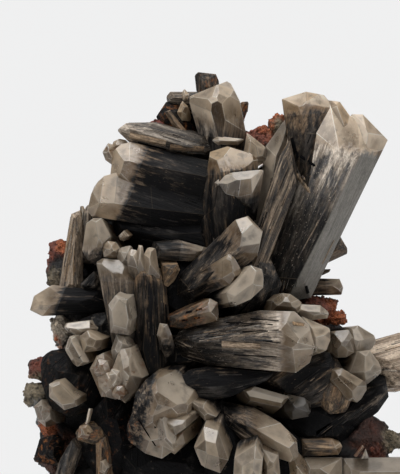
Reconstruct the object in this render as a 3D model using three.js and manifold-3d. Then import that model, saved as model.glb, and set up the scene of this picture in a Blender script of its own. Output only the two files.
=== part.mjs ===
import * as THREE from 'three';
import { mergeVertices } from 'three/addons/utils/BufferGeometryUtils.js';
import Module from 'manifold-3d';

const wasm = await Module();
wasm.setup();
const { Manifold, Mesh: SolidMesh } = wasm;

// Selenite cluster: blocky, dark-bodied crystals with clear pale ends, radiating from an iron-stained
// clay matrix. Millimetres, +Z up, the viewer's side is -Y. The origin lies on the flat cut that the
// cluster rests on.

const BLOCK = 700; // side of the blank that every crystal is cut from
const GAP = 0.3; // clearance left between separate crystals, and between crystal and matrix
const FACET_TILT = 38; // usual tilt of an end facet out of the picture plane, degrees
const MIN_CORNER = 1; // a corner that stands out less than this from its neighbours' line is left out
const BASE_Z = 0; // height of the flat cut under the matrix
const SMALL_LUMP = 30; // matrix lumps below this radius are plain twenty-sided ones

// A closed three.js geometry becomes a solid once its shared corners are merged.
function solidOf(geometry) {
  const bare = geometry.clone();
  bare.deleteAttribute('normal');
  bare.deleteAttribute('uv');
  const merged = mergeVertices(bare, 1e-4);
  return new Manifold(
    new SolidMesh({
      numProp: 3,
      vertProperties: new Float32Array(merged.attributes.position.array),
      triVerts: new Uint32Array(merged.index.array),
    }),
  );
}

// The solid becomes a three.js geometry again, moved so that `anchor` is its own origin.
function geometryOf(solid, anchor) {
  const mesh = solid.getMesh();
  const geometry = new THREE.BufferGeometry();
  const points = new Float32Array(mesh.vertProperties);
  geometry.setAttribute('position', new THREE.BufferAttribute(points, 3));
  geometry.setIndex(new THREE.BufferAttribute(new Uint32Array(mesh.triVerts), 1));
  geometry.translate(-anchor.x, -anchor.y, -anchor.z);
  geometry.computeVertexNormals();
  return geometry;
}

const blank = solidOf(new THREE.BoxGeometry(BLOCK, BLOCK, BLOCK));

function centreOf(ring) {
  const sum = ring.reduce((total, [x, z]) => [total[0] + x, total[1] + z], [0, 0]);
  return [sum[0] / ring.length, sum[1] / ring.length];
}

// Outermost corners of a ring, anticlockwise as the viewer sees them, so that a crystal is always convex.
function outline(ring) {
  const sorted = [...ring].sort((a, b) => a[0] - b[0] || a[1] - b[1]);
  const turn = (a, b, c) => (b[0] - a[0]) * (c[1] - a[1]) - (b[1] - a[1]) * (c[0] - a[0]);
  const half = (corners) => {
    const chain = [];
    for (const corner of corners) {
      while (chain.length > 1 && turn(chain.at(-2), chain.at(-1), corner) <= 0) chain.pop();
      chain.push(corner);
    }
    return chain.slice(0, -1);
  };
  const corners = [...half(sorted), ...half(sorted.reverse())];
  const standOut = (i) => {
    const [a, b, c] = [corners.at(i - 1), corners[i], corners[(i + 1) % corners.length]];
    return turn(a, b, c) / Math.hypot(c[0] - a[0], c[1] - a[1]);
  };
  for (let i = corners.length - 1; i >= 0; i -= 1) {
    if (corners.length > 5 && standOut(i) < MIN_CORNER) corners.splice(i, 1);
  }
  return corners;
}

// Blends the four tilts [right, up, left, down] for a side that looks along `out`.
function tiltToward([right, up, left, down], out) {
  return (out.x > 0 ? right : left) * out.x ** 2 + (out.z > 0 ? up : down) * out.z ** 2;
}

// The faces of one crystal, as planes with an outward normal and a distance.
//   ring: outline of the end as the viewer sees it, [x, z] corners; y: its depth
//   tilt: tilt of the end facets that rise from the sides of the ring, one value or a list used in turn;
//   tilts: the same by the way that a side looks, [right, up, left, down]
//   nose: how far the front face stands before the ring; look: how that face turns to +X and +Z
//   run: direction and length of the body behind the ring; pinch: how much the body narrows to its root
//   tail: tilt of the facets at the far end, rear: how far the far face stands behind the run
//   lean: how much deeper the crystal lies per mm to +X and to +Z; back: true for one seen from behind
function facesOf(c) {
  const ring = outline(c.ring);
  const [cx, cz] = centreOf(ring);
  const inTurn = [c.tilt ?? FACET_TILT].flat();
  const run = new THREE.Vector3(...c.run);
  const along = run.clone().normalize();
  const faces = [];
  const add = (normal, point) => faces.push(new THREE.Plane(normal.clone().normalize()).translate(point));
  ring.forEach(([x, z], i) => {
    const [nextX, nextZ] = ring[(i + 1) % ring.length];
    const edge = new THREE.Vector3(nextX - x, 0, nextZ - z);
    const out = new THREE.Vector3(edge.z, 0, -edge.x).normalize();
    const corner = new THREE.Vector3(x, c.y, z);
    const degrees = c.tilts ? tiltToward(c.tilts, out) : inTurn[i % inTurn.length];
    const tilt = THREE.MathUtils.degToRad(degrees);
    add(out.clone().multiplyScalar(Math.cos(tilt)).add(new THREE.Vector3(0, -Math.sin(tilt), 0)), corner);
    const side = new THREE.Vector3().crossVectors(run, edge).normalize();
    add(side.addScaledVector(along, c.pinch ?? 0), corner);
    if (c.tail) {
      const slope = THREE.MathUtils.degToRad(c.tail);
      const away = new THREE.Vector3(0, Math.sin(slope), 0);
      add(out.clone().multiplyScalar(Math.cos(slope)).add(away), corner.clone().add(run));
    }
  });
  const middle = new THREE.Vector3(cx, c.y, cz);
  const [lookX, lookZ] = c.look ?? [0, 0];
  add(new THREE.Vector3(lookX, -1, lookZ), middle.clone().add(new THREE.Vector3(0, -c.nose, 0)));
  add(along, middle.clone().add(run).addScaledVector(along, c.rear ?? 0));
  const [leanX, leanZ] = c.lean ?? [0, 0];
  const shear = new THREE.Matrix4().set(
    1, 0, 0, 0,
    leanX, 1, leanZ, -leanX * cx - leanZ * cz,
    0, 0, 1, 0,
    0, 0, 0, 1,
  );
  const turn = new THREE.Matrix4().makeScale(1, c.back ? -1 : 1, 1);
  const place = turn.multiply(shear);
  return faces.map((face) => {
    const point = face.coplanarPoint(new THREE.Vector3()).applyMatrix4(place);
    const normal = face.normal.clone().applyNormalMatrix(new THREE.Matrix3().getNormalMatrix(place));
    return { normal, offset: normal.dot(point) };
  });
}

// Cuts the blank by every face of the crystal, each set `grow` outward.
function crystal(c, grow = 0) {
  let solid = blank;
  for (const { normal, offset } of facesOf(c)) {
    solid = solid.trimByPlane([-normal.x, -normal.y, -normal.z], -(offset + grow));
  }
  return solid;
}

// Repeatable roughness, between -1 and 1, for a lump's surface.
function rough(x, y, z, seed) {
  return (
    0.5 * Math.sin(2.9 * x + 1.7 * z + seed) * Math.cos(3.3 * y - 1.1 * x + 2 * seed) +
    0.5 * Math.sin(5.3 * z - 4.1 * y + 3.7 * x + 1.3 * seed)
  );
}

// A lump of matrix: a coarse ball, stretched to its radii and roughened.
function lump({ at, radii, bumps, seed }, grow = 0) {
  const small = Math.max(...radii) < SMALL_LUMP;
  const ball = new THREE.IcosahedronGeometry(small ? 1.1 : 1, small ? 0 : 1);
  const points = ball.attributes.position;
  for (let i = 0; i < points.count; i += 1) {
    const p = new THREE.Vector3().fromBufferAttribute(points, i);
    const swell = 1 + bumps * rough(p.x, p.y, p.z, seed);
    points.setXYZ(
      i,
      at[0] + p.x * (radii[0] * swell + grow),
      at[1] + p.y * (radii[1] * swell + grow),
      at[2] + p.z * (radii[2] * swell + grow),
    );
  }
  return solidOf(ball);
}

// Matrix: rusty and olive clay at the heart of the cluster, seen between the crystals and round its edge.
const matrixLumps = [
  { at: [-14, 32, 52], radii: [54, 28, 54], bumps: 0.16, seed: 1 },
  { at: [20, 34, 74], radii: [46, 26, 50], bumps: 0.16, seed: 21 },
  { at: [-10, 32, 116], radii: [46, 23, 44], bumps: 0.16, seed: 2 },
  { at: [-4, 29, 152], radii: [38, 20, 38], bumps: 0.14, seed: 22 },
  { at: [4, 26, 180], radii: [20, 15, 24], bumps: 0.16, seed: 3 },
  { at: [-42, 12, 16], radii: [43, 30, 27], bumps: 0.16, seed: 4 },
  { at: [10, 15, 12], radii: [52, 36, 24], bumps: 0.14, seed: 23 },
  { at: [66, 10, 22], radii: [26, 22, 24], bumps: 0.16, seed: 24 },
  { at: [27, 18, 188], radii: [11, 9, 9.5], bumps: 0.16, seed: 5 },
  { at: [34, 16, 197], radii: [5, 6, 7], bumps: 0.16, seed: 6 },
  { at: [-25, 18, 190], radii: [8, 10, 11.5], bumps: 0.16, seed: 7 },
  { at: [-70, 16, 124], radii: [14, 12, 12], bumps: 0.22, seed: 8 },
  { at: [-74, 17, 134], radii: [7, 9, 6.5], bumps: 0.2, seed: 26 },
  { at: [-74, 10, 94], radii: [6.5, 9, 9.5], bumps: 0.25, seed: 9 },
  { at: [-52, 24, 100], radii: [26, 20, 34], bumps: 0.14, seed: 10 },
  { at: [-83, 4, 75], radii: [7, 9, 6.5], bumps: 0.25, seed: 11 },
  { at: [-86, 3, 63], radii: [7.5, 9, 6.5], bumps: 0.2, seed: 12 },
  { at: [-80, 2, 50], radii: [7.5, 10, 9], bumps: 0.25, seed: 13 },
  { at: [-76, 6, 35], radii: [11.5, 14, 14], bumps: 0.22, seed: 14 },
  { at: [-70, 12, 64], radii: [15, 14, 24], bumps: 0.16, seed: 15 },
  { at: [51, 18, 104], radii: [12, 13, 9], bumps: 0.2, seed: 16 },
  { at: [63, 12, 101], radii: [6.5, 6, 4], bumps: 0.2, seed: 17 },
  { at: [60, 24, 70], radii: [24, 18, 30], bumps: 0.16, seed: 18 },
  { at: [79, 8, 41], radii: [12.5, 15, 12], bumps: 0.24, seed: 19 },
  { at: [90, 10, 39], radii: [6, 7, 6], bumps: 0.2, seed: 20 },
  { at: [-51, 25, 146], radii: [10, 9, 12], bumps: 0.14, seed: 27 },
  { at: [-9, 27, 200], radii: [9, 8, 10], bumps: 0.16, seed: 28 },
];

// Crystals, front ones first: where two bunches meet, the one listed later is cut back by the earlier one.
const bunches = {
  pale_lozenge: [
    {
      ring: [
        [-47, 112.5], [-41, 110.5], [-39, 100], [-40, 92.5], [-46, 92.5], [-49.5, 94], [-50, 100],
        [-50.5, 108],
      ],
      y: -26, nose: 4, tilt: [30, 52, 40, 35], run: [6, 22, 5], look: [0.1, 0.05],
    },
  ],
  small_lozenge: [
    {
      ring: [[-26.5, 97], [-25, 99], [-21.5, 99], [-19, 93], [-19.5, 89], [-24, 88.5], [-26.5, 93]],
      y: -27, nose: 2.5, tilt: [35, 50], run: [3, 16, -12],
    },
  ],
  prism_crystal: [
    {
      ring: [
        [20, 127.5], [26, 125.5], [27, 122], [27, 117], [20, 110.5], [13, 107.5], [9.5, 109], [8, 114],
        [14, 121],
      ],
      y: -36, nose: 6, tilt: [44, 30, 50, 38], run: [-8, 30, -2], look: [-0.25, 0.3],
    },
  ],
  centre_lance: [
    {
      ring: [
        [12.5, 150], [19, 152], [22, 150.5], [25, 147], [27.5, 143], [28, 140], [27, 137], [25.5, 133.5],
        [19.5, 131], [4, 117], [-8, 107], [-18, 112], [-16, 122], [0, 138],
      ],
      y: -18, nose: 10, tilt: [42, 36, 48], run: [0, 10, 0], lean: [-0.32, -0.12],
    },
    {
      ring: [[6, 130], [9, 133], [13, 132.5], [15, 127], [16, 123], [14.5, 120.5], [10, 118], [6, 121]],
      y: -29, nose: 3.5, tilt: [40, 30, 50], run: [-20, 14, -12],
    },
    {
      ring: [[2, 118], [14, 134], [28, 136], [36, 118], [30, 104], [12, 102]],
      y: -4, nose: 8, tilts: [44, 50, 40, 46], run: [-2, 22, 0],
    },
  ],
  barrel_crystal: [
    {
      ring: [
        [42, 104.5], [46, 101], [49, 98], [51, 92], [52, 87], [51, 82], [49.5, 79], [46, 76], [42.5, 74],
        [30, 75], [0, 77.5], [-14, 82], [-18, 90], [-14, 97], [5, 101], [25, 105], [37, 104.8],
      ],
      y: -22, nose: 13, tilt: [44, 40, 48, 42], run: [0, 12, 0], tail: 45, rear: 8, lean: [-0.16, 0],
    },
    {
      ring: [[-34, 84], [-22, 98], [-8, 98], [2, 84], [-4, 72], [-24, 70]],
      y: -6, nose: 8, tilts: [44, 50, 40, 46], run: [2, 24, 0],
    },
  ],
  horizontal_rod: [
    {
      ring: [[-27, 138.5], [-15, 139.8], [-2, 137], [0, 135.5], [-3, 131], [-8, 129.3], [-27, 130]],
      y: -8, nose: 4, tilt: [44, 36], run: [-4, 18, 2],
    },
  ],
  golden_stub: [
    {
      ring: [[-24, 128], [-16, 128], [-15, 125], [-18, 119], [-21, 116.5], [-23, 118]],
      y: -15, nose: 3.5, tilt: [42, 34], run: [-2, 24, 4],
    },
  ],
  hatched_stub: [
    {
      ring: [
        [-20, 102], [-10, 107], [-3, 110], [0, 111], [4, 109], [4.5, 100], [0, 99], [-12, 96], [-20, 97],
      ],
      y: -22, nose: 5, tilt: [40, 48], run: [-6, 20, 0], lean: [-0.2, 0],
    },
    {
      ring: [[-28, 126], [-14, 134], [8, 124], [14, 112], [2, 98], [-16, 94], [-28, 104]],
      y: -2, nose: 8, tilts: [44, 50, 40, 46], run: [2, 20, 0],
    },
  ],
  lower_mid_crystal: [
    {
      ring: [
        [-3, 47.5], [4, 45.5], [5.5, 42], [9, 31], [5, 24.5], [-1, 26], [-4.5, 28], [-8, 37.5], [-7, 41],
      ],
      y: -38, nose: 5, tilt: [36, 52, 40], run: [5, 34, 14], look: [0, 0.15],
    },
    {
      ring: [[-6, 56], [6, 60], [16, 54], [22, 36], [16, 14], [2, 10], [-6, 24]],
      y: -14, nose: 8, tilts: [44, 50, 40, 46], run: [0, 30, 4],
    },
  ],
  bottom_crystal: [
    {
      ring: [[12, 32], [19, 35.5], [22.5, 38.5], [26, 31], [25, 20], [22, 12], [14, 13], [11.5, 23]],
      y: -38, nose: 5, tilt: [40, 34, 48], run: [3, 34, 14],
    },
    {
      ring: [[26, 36], [34, 33], [35, 22], [32, 15], [25, 16]],
      y: -30, nose: 4, tilt: [36, 48], run: [-2, 24, 14],
    },
  ],
  lower_big_crystal: [
    {
      ring: [
        [-32, 70.8], [-22, 70.8], [-18, 69], [-12, 63.5], [-11, 58], [-12.5, 50], [-24, 43], [-34, 46],
        [-39, 54], [-37, 64],
      ],
      y: -36, nose: 12, tilt: [40, 34, 46], run: [16, 40, 12],
    },
    {
      ring: [
        [-38, 56], [-20, 58], [-12.5, 54], [-12.5, 42], [-13, 39], [-16, 37], [-24, 31.5], [-32, 34],
        [-40, 39], [-43, 44],
      ],
      y: -33, nose: 9, tilt: [46, 38, 52], run: [14, 38, 12],
    },
    {
      ring: [[-44, 34], [-26, 40], [-8, 38], [0, 26], [-6, 12], [-30, 10], [-44, 18]],
      y: -16, nose: 8, tilts: [44, 50, 40, 46], run: [4, 28, 4],
    },
  ],
  rugged_crystals: [
    {
      ring: [
        [-45, 86], [-40, 86], [-34.5, 76], [-33.5, 71.5], [-36, 66], [-43, 58.5], [-47, 62], [-50, 72],
        [-48, 80],
      ],
      y: -28, nose: 8, tilt: [44, 36, 50], run: [12, 32, 6],
    },
    {
      ring: [[-48, 90], [-46.5, 93], [-42.5, 92], [-40.5, 87.5], [-41.5, 84], [-48, 80], [-49.5, 85]],
      y: -25, nose: 4, tilt: [42, 34], run: [8, 22, 0],
    },
    {
      ring: [[-60, 76], [-57, 82], [-53, 84], [-48, 80], [-45, 70], [-46, 62], [-54, 62], [-57, 68]],
      y: -24, nose: 7, tilt: [38, 50, 44], run: [12, 28, 4],
    },
    {
      ring: [[-56, 72], [-52, 75], [-46, 73], [-44, 66], [-47, 60.5], [-52, 62], [-55, 66]],
      y: -30, nose: 4, tilt: [46, 36], run: [8, 20, 4],
    },
  ],
  box_crystal: [
    {
      ring: [[-61, 95], [-56, 92], [-53.5, 90.5], [-55, 85], [-60, 83.5], [-63, 84], [-65, 88], [-65, 92]],
      y: -20, nose: 5, tilt: [34, 48], run: [9, 26, 3], look: [0.15, 0.1],
    },
  ],
  leaning_lozenge: [
    {
      ring: [[-70, 92], [-67, 92], [-60, 80], [-60.5, 78.5], [-66, 77], [-68, 78], [-72.5, 86]],
      y: -20, nose: 4, tilt: [36, 50, 30], run: [10, 24, 4],
    },
  ],
  slab_crystal: [
    {
      ring: [[-73, 97], [-72, 98.5], [-60, 100], [-56, 96], [-57, 93], [-62, 92], [-66, 91.5], [-72, 94]],
      y: -13, nose: 3, tilt: [40, 50], run: [10, 22, 2],
    },
    {
      ring: [[-70, 98], [-57, 103.5], [-50, 104], [-49, 88], [-54, 84], [-62, 88]],
      y: -8, nose: 4, tilt: [40, 50], run: [6, 18, 0],
    },
  ],
  diamond_crystal: [
    {
      ring: [
        [-80, 68.5], [-75, 69.8], [-70, 65], [-66, 61], [-66, 57.5], [-72.5, 55.5], [-78, 59.5], [-80, 62],
      ],
      y: -26, nose: 4, tilt: [30, 46, 38], run: [11, 30, 6], look: [0.1, 0.15],
    },
  ],
  spike_crystal: [
    {
      ring: [[-69, 40.5], [-65.5, 36], [-70, 25], [-73, 14], [-81, 13], [-78, 23], [-74, 32]],
      y: -18, nose: 4, tilt: [46, 38], run: [4, 18, 2], lean: [0, -0.2],
    },
  ],
  twisted_crystals: [
    {
      ring: [[-67, 44], [-65, 47], [-60, 49], [-55, 46.5], [-52, 42], [-54, 37], [-60, 39], [-66, 40.5]],
      y: -22, nose: 5, tilt: [44, 36], run: [8, 24, 4],
    },
    {
      ring: [[-57, 42], [-52, 42], [-50, 34], [-50, 24], [-51, 14], [-56, 14], [-57, 26]],
      y: -23, nose: 4, tilt: [40, 50], run: [6, 22, 4],
    },
    {
      ring: [[-62, 52], [-52, 62], [-40, 58], [-36, 40], [-40, 22], [-56, 20], [-64, 34]],
      y: -12, nose: 8, tilts: [44, 50, 40, 46], run: [6, 26, 4],
    },
  ],
  little_crystal: [
    {
      ring: [[-11, 61], [-3, 58.5], [0, 56], [3, 52], [-2, 49.5], [-6, 52.5], [-10, 58]],
      y: -29, nose: 3, tilt: [40, 34], run: [5, 22, 6],
    },
  ],
  lower_right_lance: [
    {
      ring: [
        [5, 60], [17, 58], [22, 56.5], [35, 49], [43, 41], [44.5, 36], [44, 32], [40, 29.5], [36, 30],
        [26, 34], [14, 41], [4, 45], [0, 52],
      ],
      y: -20, nose: 9, tilt: [44, 36, 50], run: [0, 10, 0], lean: [-0.3, 0.1],
    },
    {
      ring: [[22, 38], [38, 46], [48, 38], [50, 18], [40, 10], [24, 12]],
      y: -12, nose: 6, tilts: [44, 50, 40, 46], run: [-2, 28, 4],
    },
  ],
  leaf_crystal: [
    {
      ring: [
        [-18, 70], [-10, 75.5], [-2, 77], [10, 76.5], [32, 74], [28, 70], [10, 62], [0, 60], [-12, 63],
      ],
      y: -22, nose: 5, tilt: [40, 50], run: [0, 16, 0],
    },
  ],
  grey_slab: [
    {
      ring: [[16, 65.3], [22, 67.3], [39.8, 62.3], [38, 59], [35.3, 56.7], [20, 60]],
      y: -22, nose: 3, tilt: [30, 46], run: [-4, 18, -4],
    },
  ],
  dark_cylinder: [
    {
      ring: [[37, 62], [40, 63], [47, 61.5], [50.5, 58.5], [51, 56], [49, 52], [41, 50.5], [37, 55]],
      y: -16, nose: 6, tilt: [36, 48], run: [-16, 24, 2],
    },
  ],
  left_tower: [
    {
      ring: [
        [-57, 130], [-56, 131], [-44, 130], [-40, 127], [-35, 118], [-34, 100], [-38, 80], [-46, 74],
        [-50, 90], [-54.5, 113], [-56, 122],
      ],
      y: -12, nose: 6, tilt: [48, 40, 34], run: [4, 16, 0],
    },
    {
      ring: [
        [-37, 126], [-26, 126], [-22, 118], [-20, 100], [-19.5, 82], [-23, 68], [-36, 68], [-40, 85],
        [-38, 110],
      ],
      y: -14, nose: 6, tilt: [48, 40, 34], run: [2, 16, 0],
    },
    {
      ring: [[-41.5, 133], [-39.5, 135.5], [-36.5, 135.5], [-35.5, 131], [-36, 126], [-41, 127.5]],
      y: -18, nose: 3, tilt: [36, 48], run: [3, 12, -26],
    },
    {
      ring: [
        [-37, 135], [-35.5, 138.3], [-33.5, 137.5], [-32.5, 133], [-32, 124], [-36, 124], [-37.5, 130],
      ],
      y: -16, nose: 4, tilt: [36, 48], run: [3, 12, -26],
    },
    {
      ring: [[-33, 133], [-31, 136.5], [-27, 136], [-25.5, 131], [-25, 122], [-30, 118], [-33, 124]],
      y: -17, nose: 4, tilt: [42, 36], run: [3, 14, -30],
    },
    {
      ring: [[-46.5, 134], [-44, 137], [-39, 137.5], [-37, 130], [-40, 124], [-46, 127]],
      y: -11, nose: 4, tilt: [42, 36], run: [4, 14, -20],
    },
  ],
  mitre_crystal: [
    {
      ring: [
        [-60, 151], [-54, 151], [-51, 147], [-49.5, 142], [-50, 137], [-54, 131], [-61, 130], [-64, 135],
        [-64, 140], [-62, 148],
      ],
      y: -8, nose: 6, tilt: [38, 48, 32], run: [8, 26, -6], look: [0, 0.15],
    },
    {
      ring: [[-54, 137], [-51, 139.5], [-47, 139], [-45, 136], [-45.5, 132.5], [-48, 131], [-53, 131.5]],
      y: -11, nose: 3.5, tilt: [42, 34], run: [6, 24, -3],
    },
  ],
  knob_crystal: [
    {
      ring: [
        [-45.7, 142], [-44.8, 144], [-43, 144.8], [-41, 144], [-40.3, 142], [-41.2, 140], [-43, 139.3],
        [-45, 140],
      ],
      y: -9, nose: 1.5, tilt: 55, run: [6, 26, 2],
    },
  ],
  left_finger: [
    {
      ring: [
        [-90, 108], [-88, 112], [-83, 115], [-79, 117.5], [-74, 116], [-55, 115], [-50, 108], [-57, 103],
        [-75, 101.5], [-84, 102], [-88, 103], [-90, 105],
      ],
      y: -4, nose: 8, tilt: [44, 36, 50], run: [0, 8, 0], tail: 45, rear: 6, lean: [-0.08, 0],
    },
  ],
  dark_left_crystal: [
    {
      ring: [[-65, 118], [-62, 122], [-58, 124.5], [-54, 122], [-54, 114], [-64, 115]],
      y: -4, nose: 4, tilt: [42, 34], run: [4, 18, 0],
    },
  ],
  left_column: [
    {
      ring: [
        [-69.5, 153], [-67, 155.2], [-65, 155], [-64, 150], [-63.5, 112], [-76, 112], [-75.5, 117],
        [-73.5, 128], [-71, 145],
      ],
      y: 4, nose: 7, tilt: [40, 34, 46], run: [0, 8, 0], lean: [0, 0.05],
    },
    {
      ring: [[-66, 155], [-65, 157.3], [-63.5, 157.5], [-62.5, 155], [-62, 148], [-66, 146]],
      y: 8, nose: 2.5, tilt: 40, run: [0, 6, -10],
    },
    {
      ring: [[-64.5, 152], [-61.5, 158], [-58, 156], [-58, 130], [-65, 130]],
      y: 7, nose: 5, tilt: 40, run: [2, 10, -4],
    },
  ],
  second_tower: [
    {
      ring: [
        [-1.5, 180], [0, 184], [3, 185.5], [8, 187], [16, 185], [21, 183], [24, 180], [24, 168], [20, 134],
        [-3, 130], [-5, 150], [-3.5, 170],
      ],
      y: -4, nose: 10, tilt: [40, 34, 46], run: [0, 10, 0], lean: [0, -0.08],
    },
    {
      ring: [[2, 170], [12, 175], [22.5, 176], [27, 175], [24.5, 169], [21, 163], [14, 161.5], [8, 163]],
      y: -14, nose: 5, tilt: [42, 34, 50], run: [-4, 14, -26],
    },
  ],
  upper_left_fan: [
    {
      ring: [
        [-61.5, 155], [-60, 162], [-59.5, 166], [-58, 167], [-53, 172], [-46, 174], [-30, 172], [6, 162],
        [6, 146], [-30, 147], [-47, 151.5], [-54, 151], [-60, 152],
      ],
      y: -2, nose: 9, tilts: [50, 66, 42, 50], run: [4, 12, 0], lean: [0.05, 0.05],
    },
    {
      ring: [
        [-51, 173], [-50.5, 178], [-48, 187], [-40, 189], [-20, 183.5], [6, 178], [6, 154], [-30, 158],
        [-50, 166],
      ],
      y: 0, nose: 10, tilts: [50, 50, 40, 68], run: [4, 12, 0], lean: [0.05, 0.05],
    },
    {
      ring: [
        [-50, 150], [-44, 154], [-20, 156], [0, 156], [6, 140], [4, 126], [-14, 130], [-30, 140],
        [-47, 142],
      ],
      y: 3, nose: 7, tilts: [50, 60, 40, 44], run: [2, 10, 0],
    },
    {
      ring: [[-54, 184], [-53, 187.5], [-51.5, 188.8], [-49, 187], [-46, 181], [-49, 177.5], [-52.5, 180]],
      y: 2, nose: 3, tilt: 42, run: [6, 8, -2],
    },
    {
      ring: [[-50, 185], [-48.5, 189.5], [-45.5, 191], [-42.5, 190.5], [-40, 186]],
      y: 6, nose: 3, tilt: 42, run: [4, 6, -4],
    },
  ],
  wedge_blade: [
    {
      ring: [
        [-47, 195], [-45.5, 196.5], [-42, 198.5], [-28, 198.8], [-20, 197.3], [-12, 195.5], [-2, 192],
        [2, 186], [0, 181], [-20, 181.5], [-25, 183], [-37, 187.5], [-40, 188.5],
      ],
      y: 6, nose: 9, tilt: [50, 44, 36, 40], run: [4, 10, 0], tail: 45, rear: 5, lean: [0.08, 0],
    },
  ],
  top_tower: [
    {
      ring: [
        [-10, 212], [-6, 215], [4, 219.5], [8, 220], [10.5, 218.5], [12, 215.5], [15, 209.5], [17, 201],
        [18, 194], [15, 172], [0, 172], [-5, 196], [-8, 204], [-10.3, 209],
      ],
      y: 10, nose: 10, tilt: [42, 34, 48], run: [0, 8, 0], tail: 45, rear: 6, lean: [0, -0.05],
    },
    {
      ring: [[1, 190], [4, 192], [11, 192], [17, 190.5], [14, 188], [4, 187.5]],
      y: 1, nose: 2.5, tilt: 42, run: [0, 12, -1],
    },
  ],
  top_rods: [
    {
      ring: [[-22.5, 211.5], [-20, 214.5], [-6, 214.5], [-2, 210], [-4, 206], [-17, 207.5], [-22, 209.5]],
      y: 15, nose: 4, tilt: [44, 36], run: [4, 10, -6],
    },
    {
      ring: [[-14.5, 214], [-13, 216], [-11.5, 215.5], [-10.5, 213], [-11, 210.5], [-13.5, 210]],
      y: 11, nose: 2, tilt: 42, run: [2, 8, -2],
    },
    {
      ring: [[-22, 209.5], [-16, 209], [-8, 196], [-12, 188], [-24, 192], [-27, 202]],
      y: 15, nose: 4, tilt: [44, 36], run: [3, 8, -3],
    },
    {
      ring: [[-14, 210], [-11, 207], [-12, 203], [-14.5, 201], [-16.5, 204], [-15.5, 208]],
      y: 9, nose: 2.5, tilt: 40, run: [2, 8, -5],
    },
    {
      ring: [[-23, 204.5], [-20.5, 205.5], [-12, 195], [-14, 192], [-17, 194]],
      y: 9.5, nose: 2, tilt: 42, run: [1, 5, -1],
    },
  ],
  back_nub: [
    {
      ring: [[-7.5, 223], [-6, 224.5], [0, 224], [3, 223.5], [4.5, 220], [7, 185], [-3, 185], [-6, 214]],
      y: 26, nose: 5, tilt: [40, 50], run: [0, 6, 0],
    },
  ],
  rusty_splinter: [
    {
      ring: [[16, 209.5], [19, 209.7], [20, 208], [19, 203], [12, 186], [2, 184], [12, 204]],
      y: 25, nose: 3, tilt: 40, run: [0, 5, 0],
    },
  ],
  large_blade: [
    {
      ring: [
        [41, 204], [60, 208], [74, 200], [86, 184], [65.5, 142], [50.5, 111], [31, 108], [27, 122],
        [40, 192],
      ],
      y: 4, nose: 15, tilts: [42, 60, 62, 40], run: [0, 12, 0], tail: 45, rear: 9, lean: [0, -0.05],
    },
    {
      ring: [
        [36, 207], [36, 210.5], [38, 212], [44, 213.5], [48, 214.2], [53, 213.7], [57, 212.5], [60, 209],
        [64, 192], [58, 150], [46, 140], [40, 190],
      ],
      y: 2, nose: 13.5, tilts: [58, 34, 40, 60], run: [0, 14, 0], tail: 45, rear: 8, lean: [0, -0.05],
    },
    {
      ring: [[56, 186], [59, 210], [65, 209.2], [68, 206], [73, 198], [72, 176], [58, 146], [52, 160]],
      y: 3, nose: 14.5, tilts: [50, 38, 62, 62], run: [0, 12, 0], tail: 45, rear: 8, lean: [0, -0.05],
    },
    {
      ring: [
        [64, 184], [71, 203], [76.5, 203], [79, 201], [84, 195.5], [89, 190], [86, 184], [65.5, 142],
        [58, 140], [60, 160],
      ],
      y: 4, nose: 14, tilts: [42, 38, 66, 60], run: [0, 10, 0], tail: 45, rear: 8, lean: [0, -0.05],
    },
    {
      ring: [
        [40, 190], [43.5, 176], [43, 166], [34, 146], [27, 124], [18, 112], [16, 124], [28, 156],
        [31, 172], [35, 182],
      ],
      y: -7, nose: 9, tilts: [52, 40, 46, 40], run: [0, 14, 0], lean: [0, -0.03],
    },
  ],
  grey_blade: [
    {
      ring: [
        [40, 203.5], [38, 200], [35, 194], [30, 190.5], [28, 187], [25, 166], [20, 138], [32, 138],
        [41, 185],
      ],
      y: 8, nose: 7, tilt: [40, 46], run: [0, 8, 0],
    },
    {
      ring: [[18.5, 194], [20, 193.8], [28.5, 186], [28, 181], [20, 176], [16, 180]],
      y: 4, nose: 3, tilt: 42, run: [0, 8, -2],
    },
  ],
  pale_right_crystals: [
    {
      ring: [[45, 108], [55, 107.5], [58, 105.5], [59.5, 104], [59, 101], [50, 100], [46, 102], [42, 104]],
      y: -12, nose: 4, tilt: [42, 36], run: [-12, 22, 0],
    },
    {
      ring: [[31, 110], [36, 113.5], [40, 113.2], [43, 111], [46, 109], [44, 103], [30, 104]],
      y: -13, nose: 4, tilt: [42, 36], run: [-12, 20, -2],
    },
    {
      ring: [[46, 102], [52, 100.5], [57, 98.3], [60, 96], [60, 90], [58, 85], [52, 82.5], [44, 84]],
      y: -14, nose: 7, tilt: [42, 36, 48], run: [-12, 26, -2],
    },
  ],
  right_stubs: [
    {
      ring: [[44, 121], [65, 120.5], [67, 116], [66, 112.5], [44, 112]],
      y: 12, nose: 5, tilt: [42, 36], run: [-4, 12, 0],
    },
  ],
  thin_stub: [
    {
      ring: [[44, 118], [56, 122.3], [60, 124], [60.6, 125.4], [57, 125.6], [46, 125]],
      y: 15, nose: 2.5, tilt: 42, run: [0, 6, 0],
    },
  ],
  back_wedge_crystal: [
    {
      ring: [
        [65.5, 142], [67, 140.5], [69.5, 136], [69, 133], [65, 131.3], [54, 126], [46, 124], [50, 138],
      ],
      y: 24, nose: 5, tilt: [42, 36], run: [-4, 8, 0], tail: 45, rear: 3,
    },
  ],
  knot_crystals: [
    {
      ring: [
        [62, 75], [66, 76], [73, 73], [78, 69], [79, 65], [76, 60.5], [73, 59], [69, 60], [64, 65],
        [61, 70],
      ],
      y: -16, nose: 8, tilt: [42, 34, 48], run: [-14, 26, 4],
    },
    {
      ring: [[74, 84.5], [80, 85], [83, 82.5], [85, 79], [86, 74], [84, 71], [81, 69], [77, 67], [70, 74]],
      y: -10, nose: 8, tilt: [42, 36, 48], run: [-14, 24, 0],
    },
    {
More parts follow.
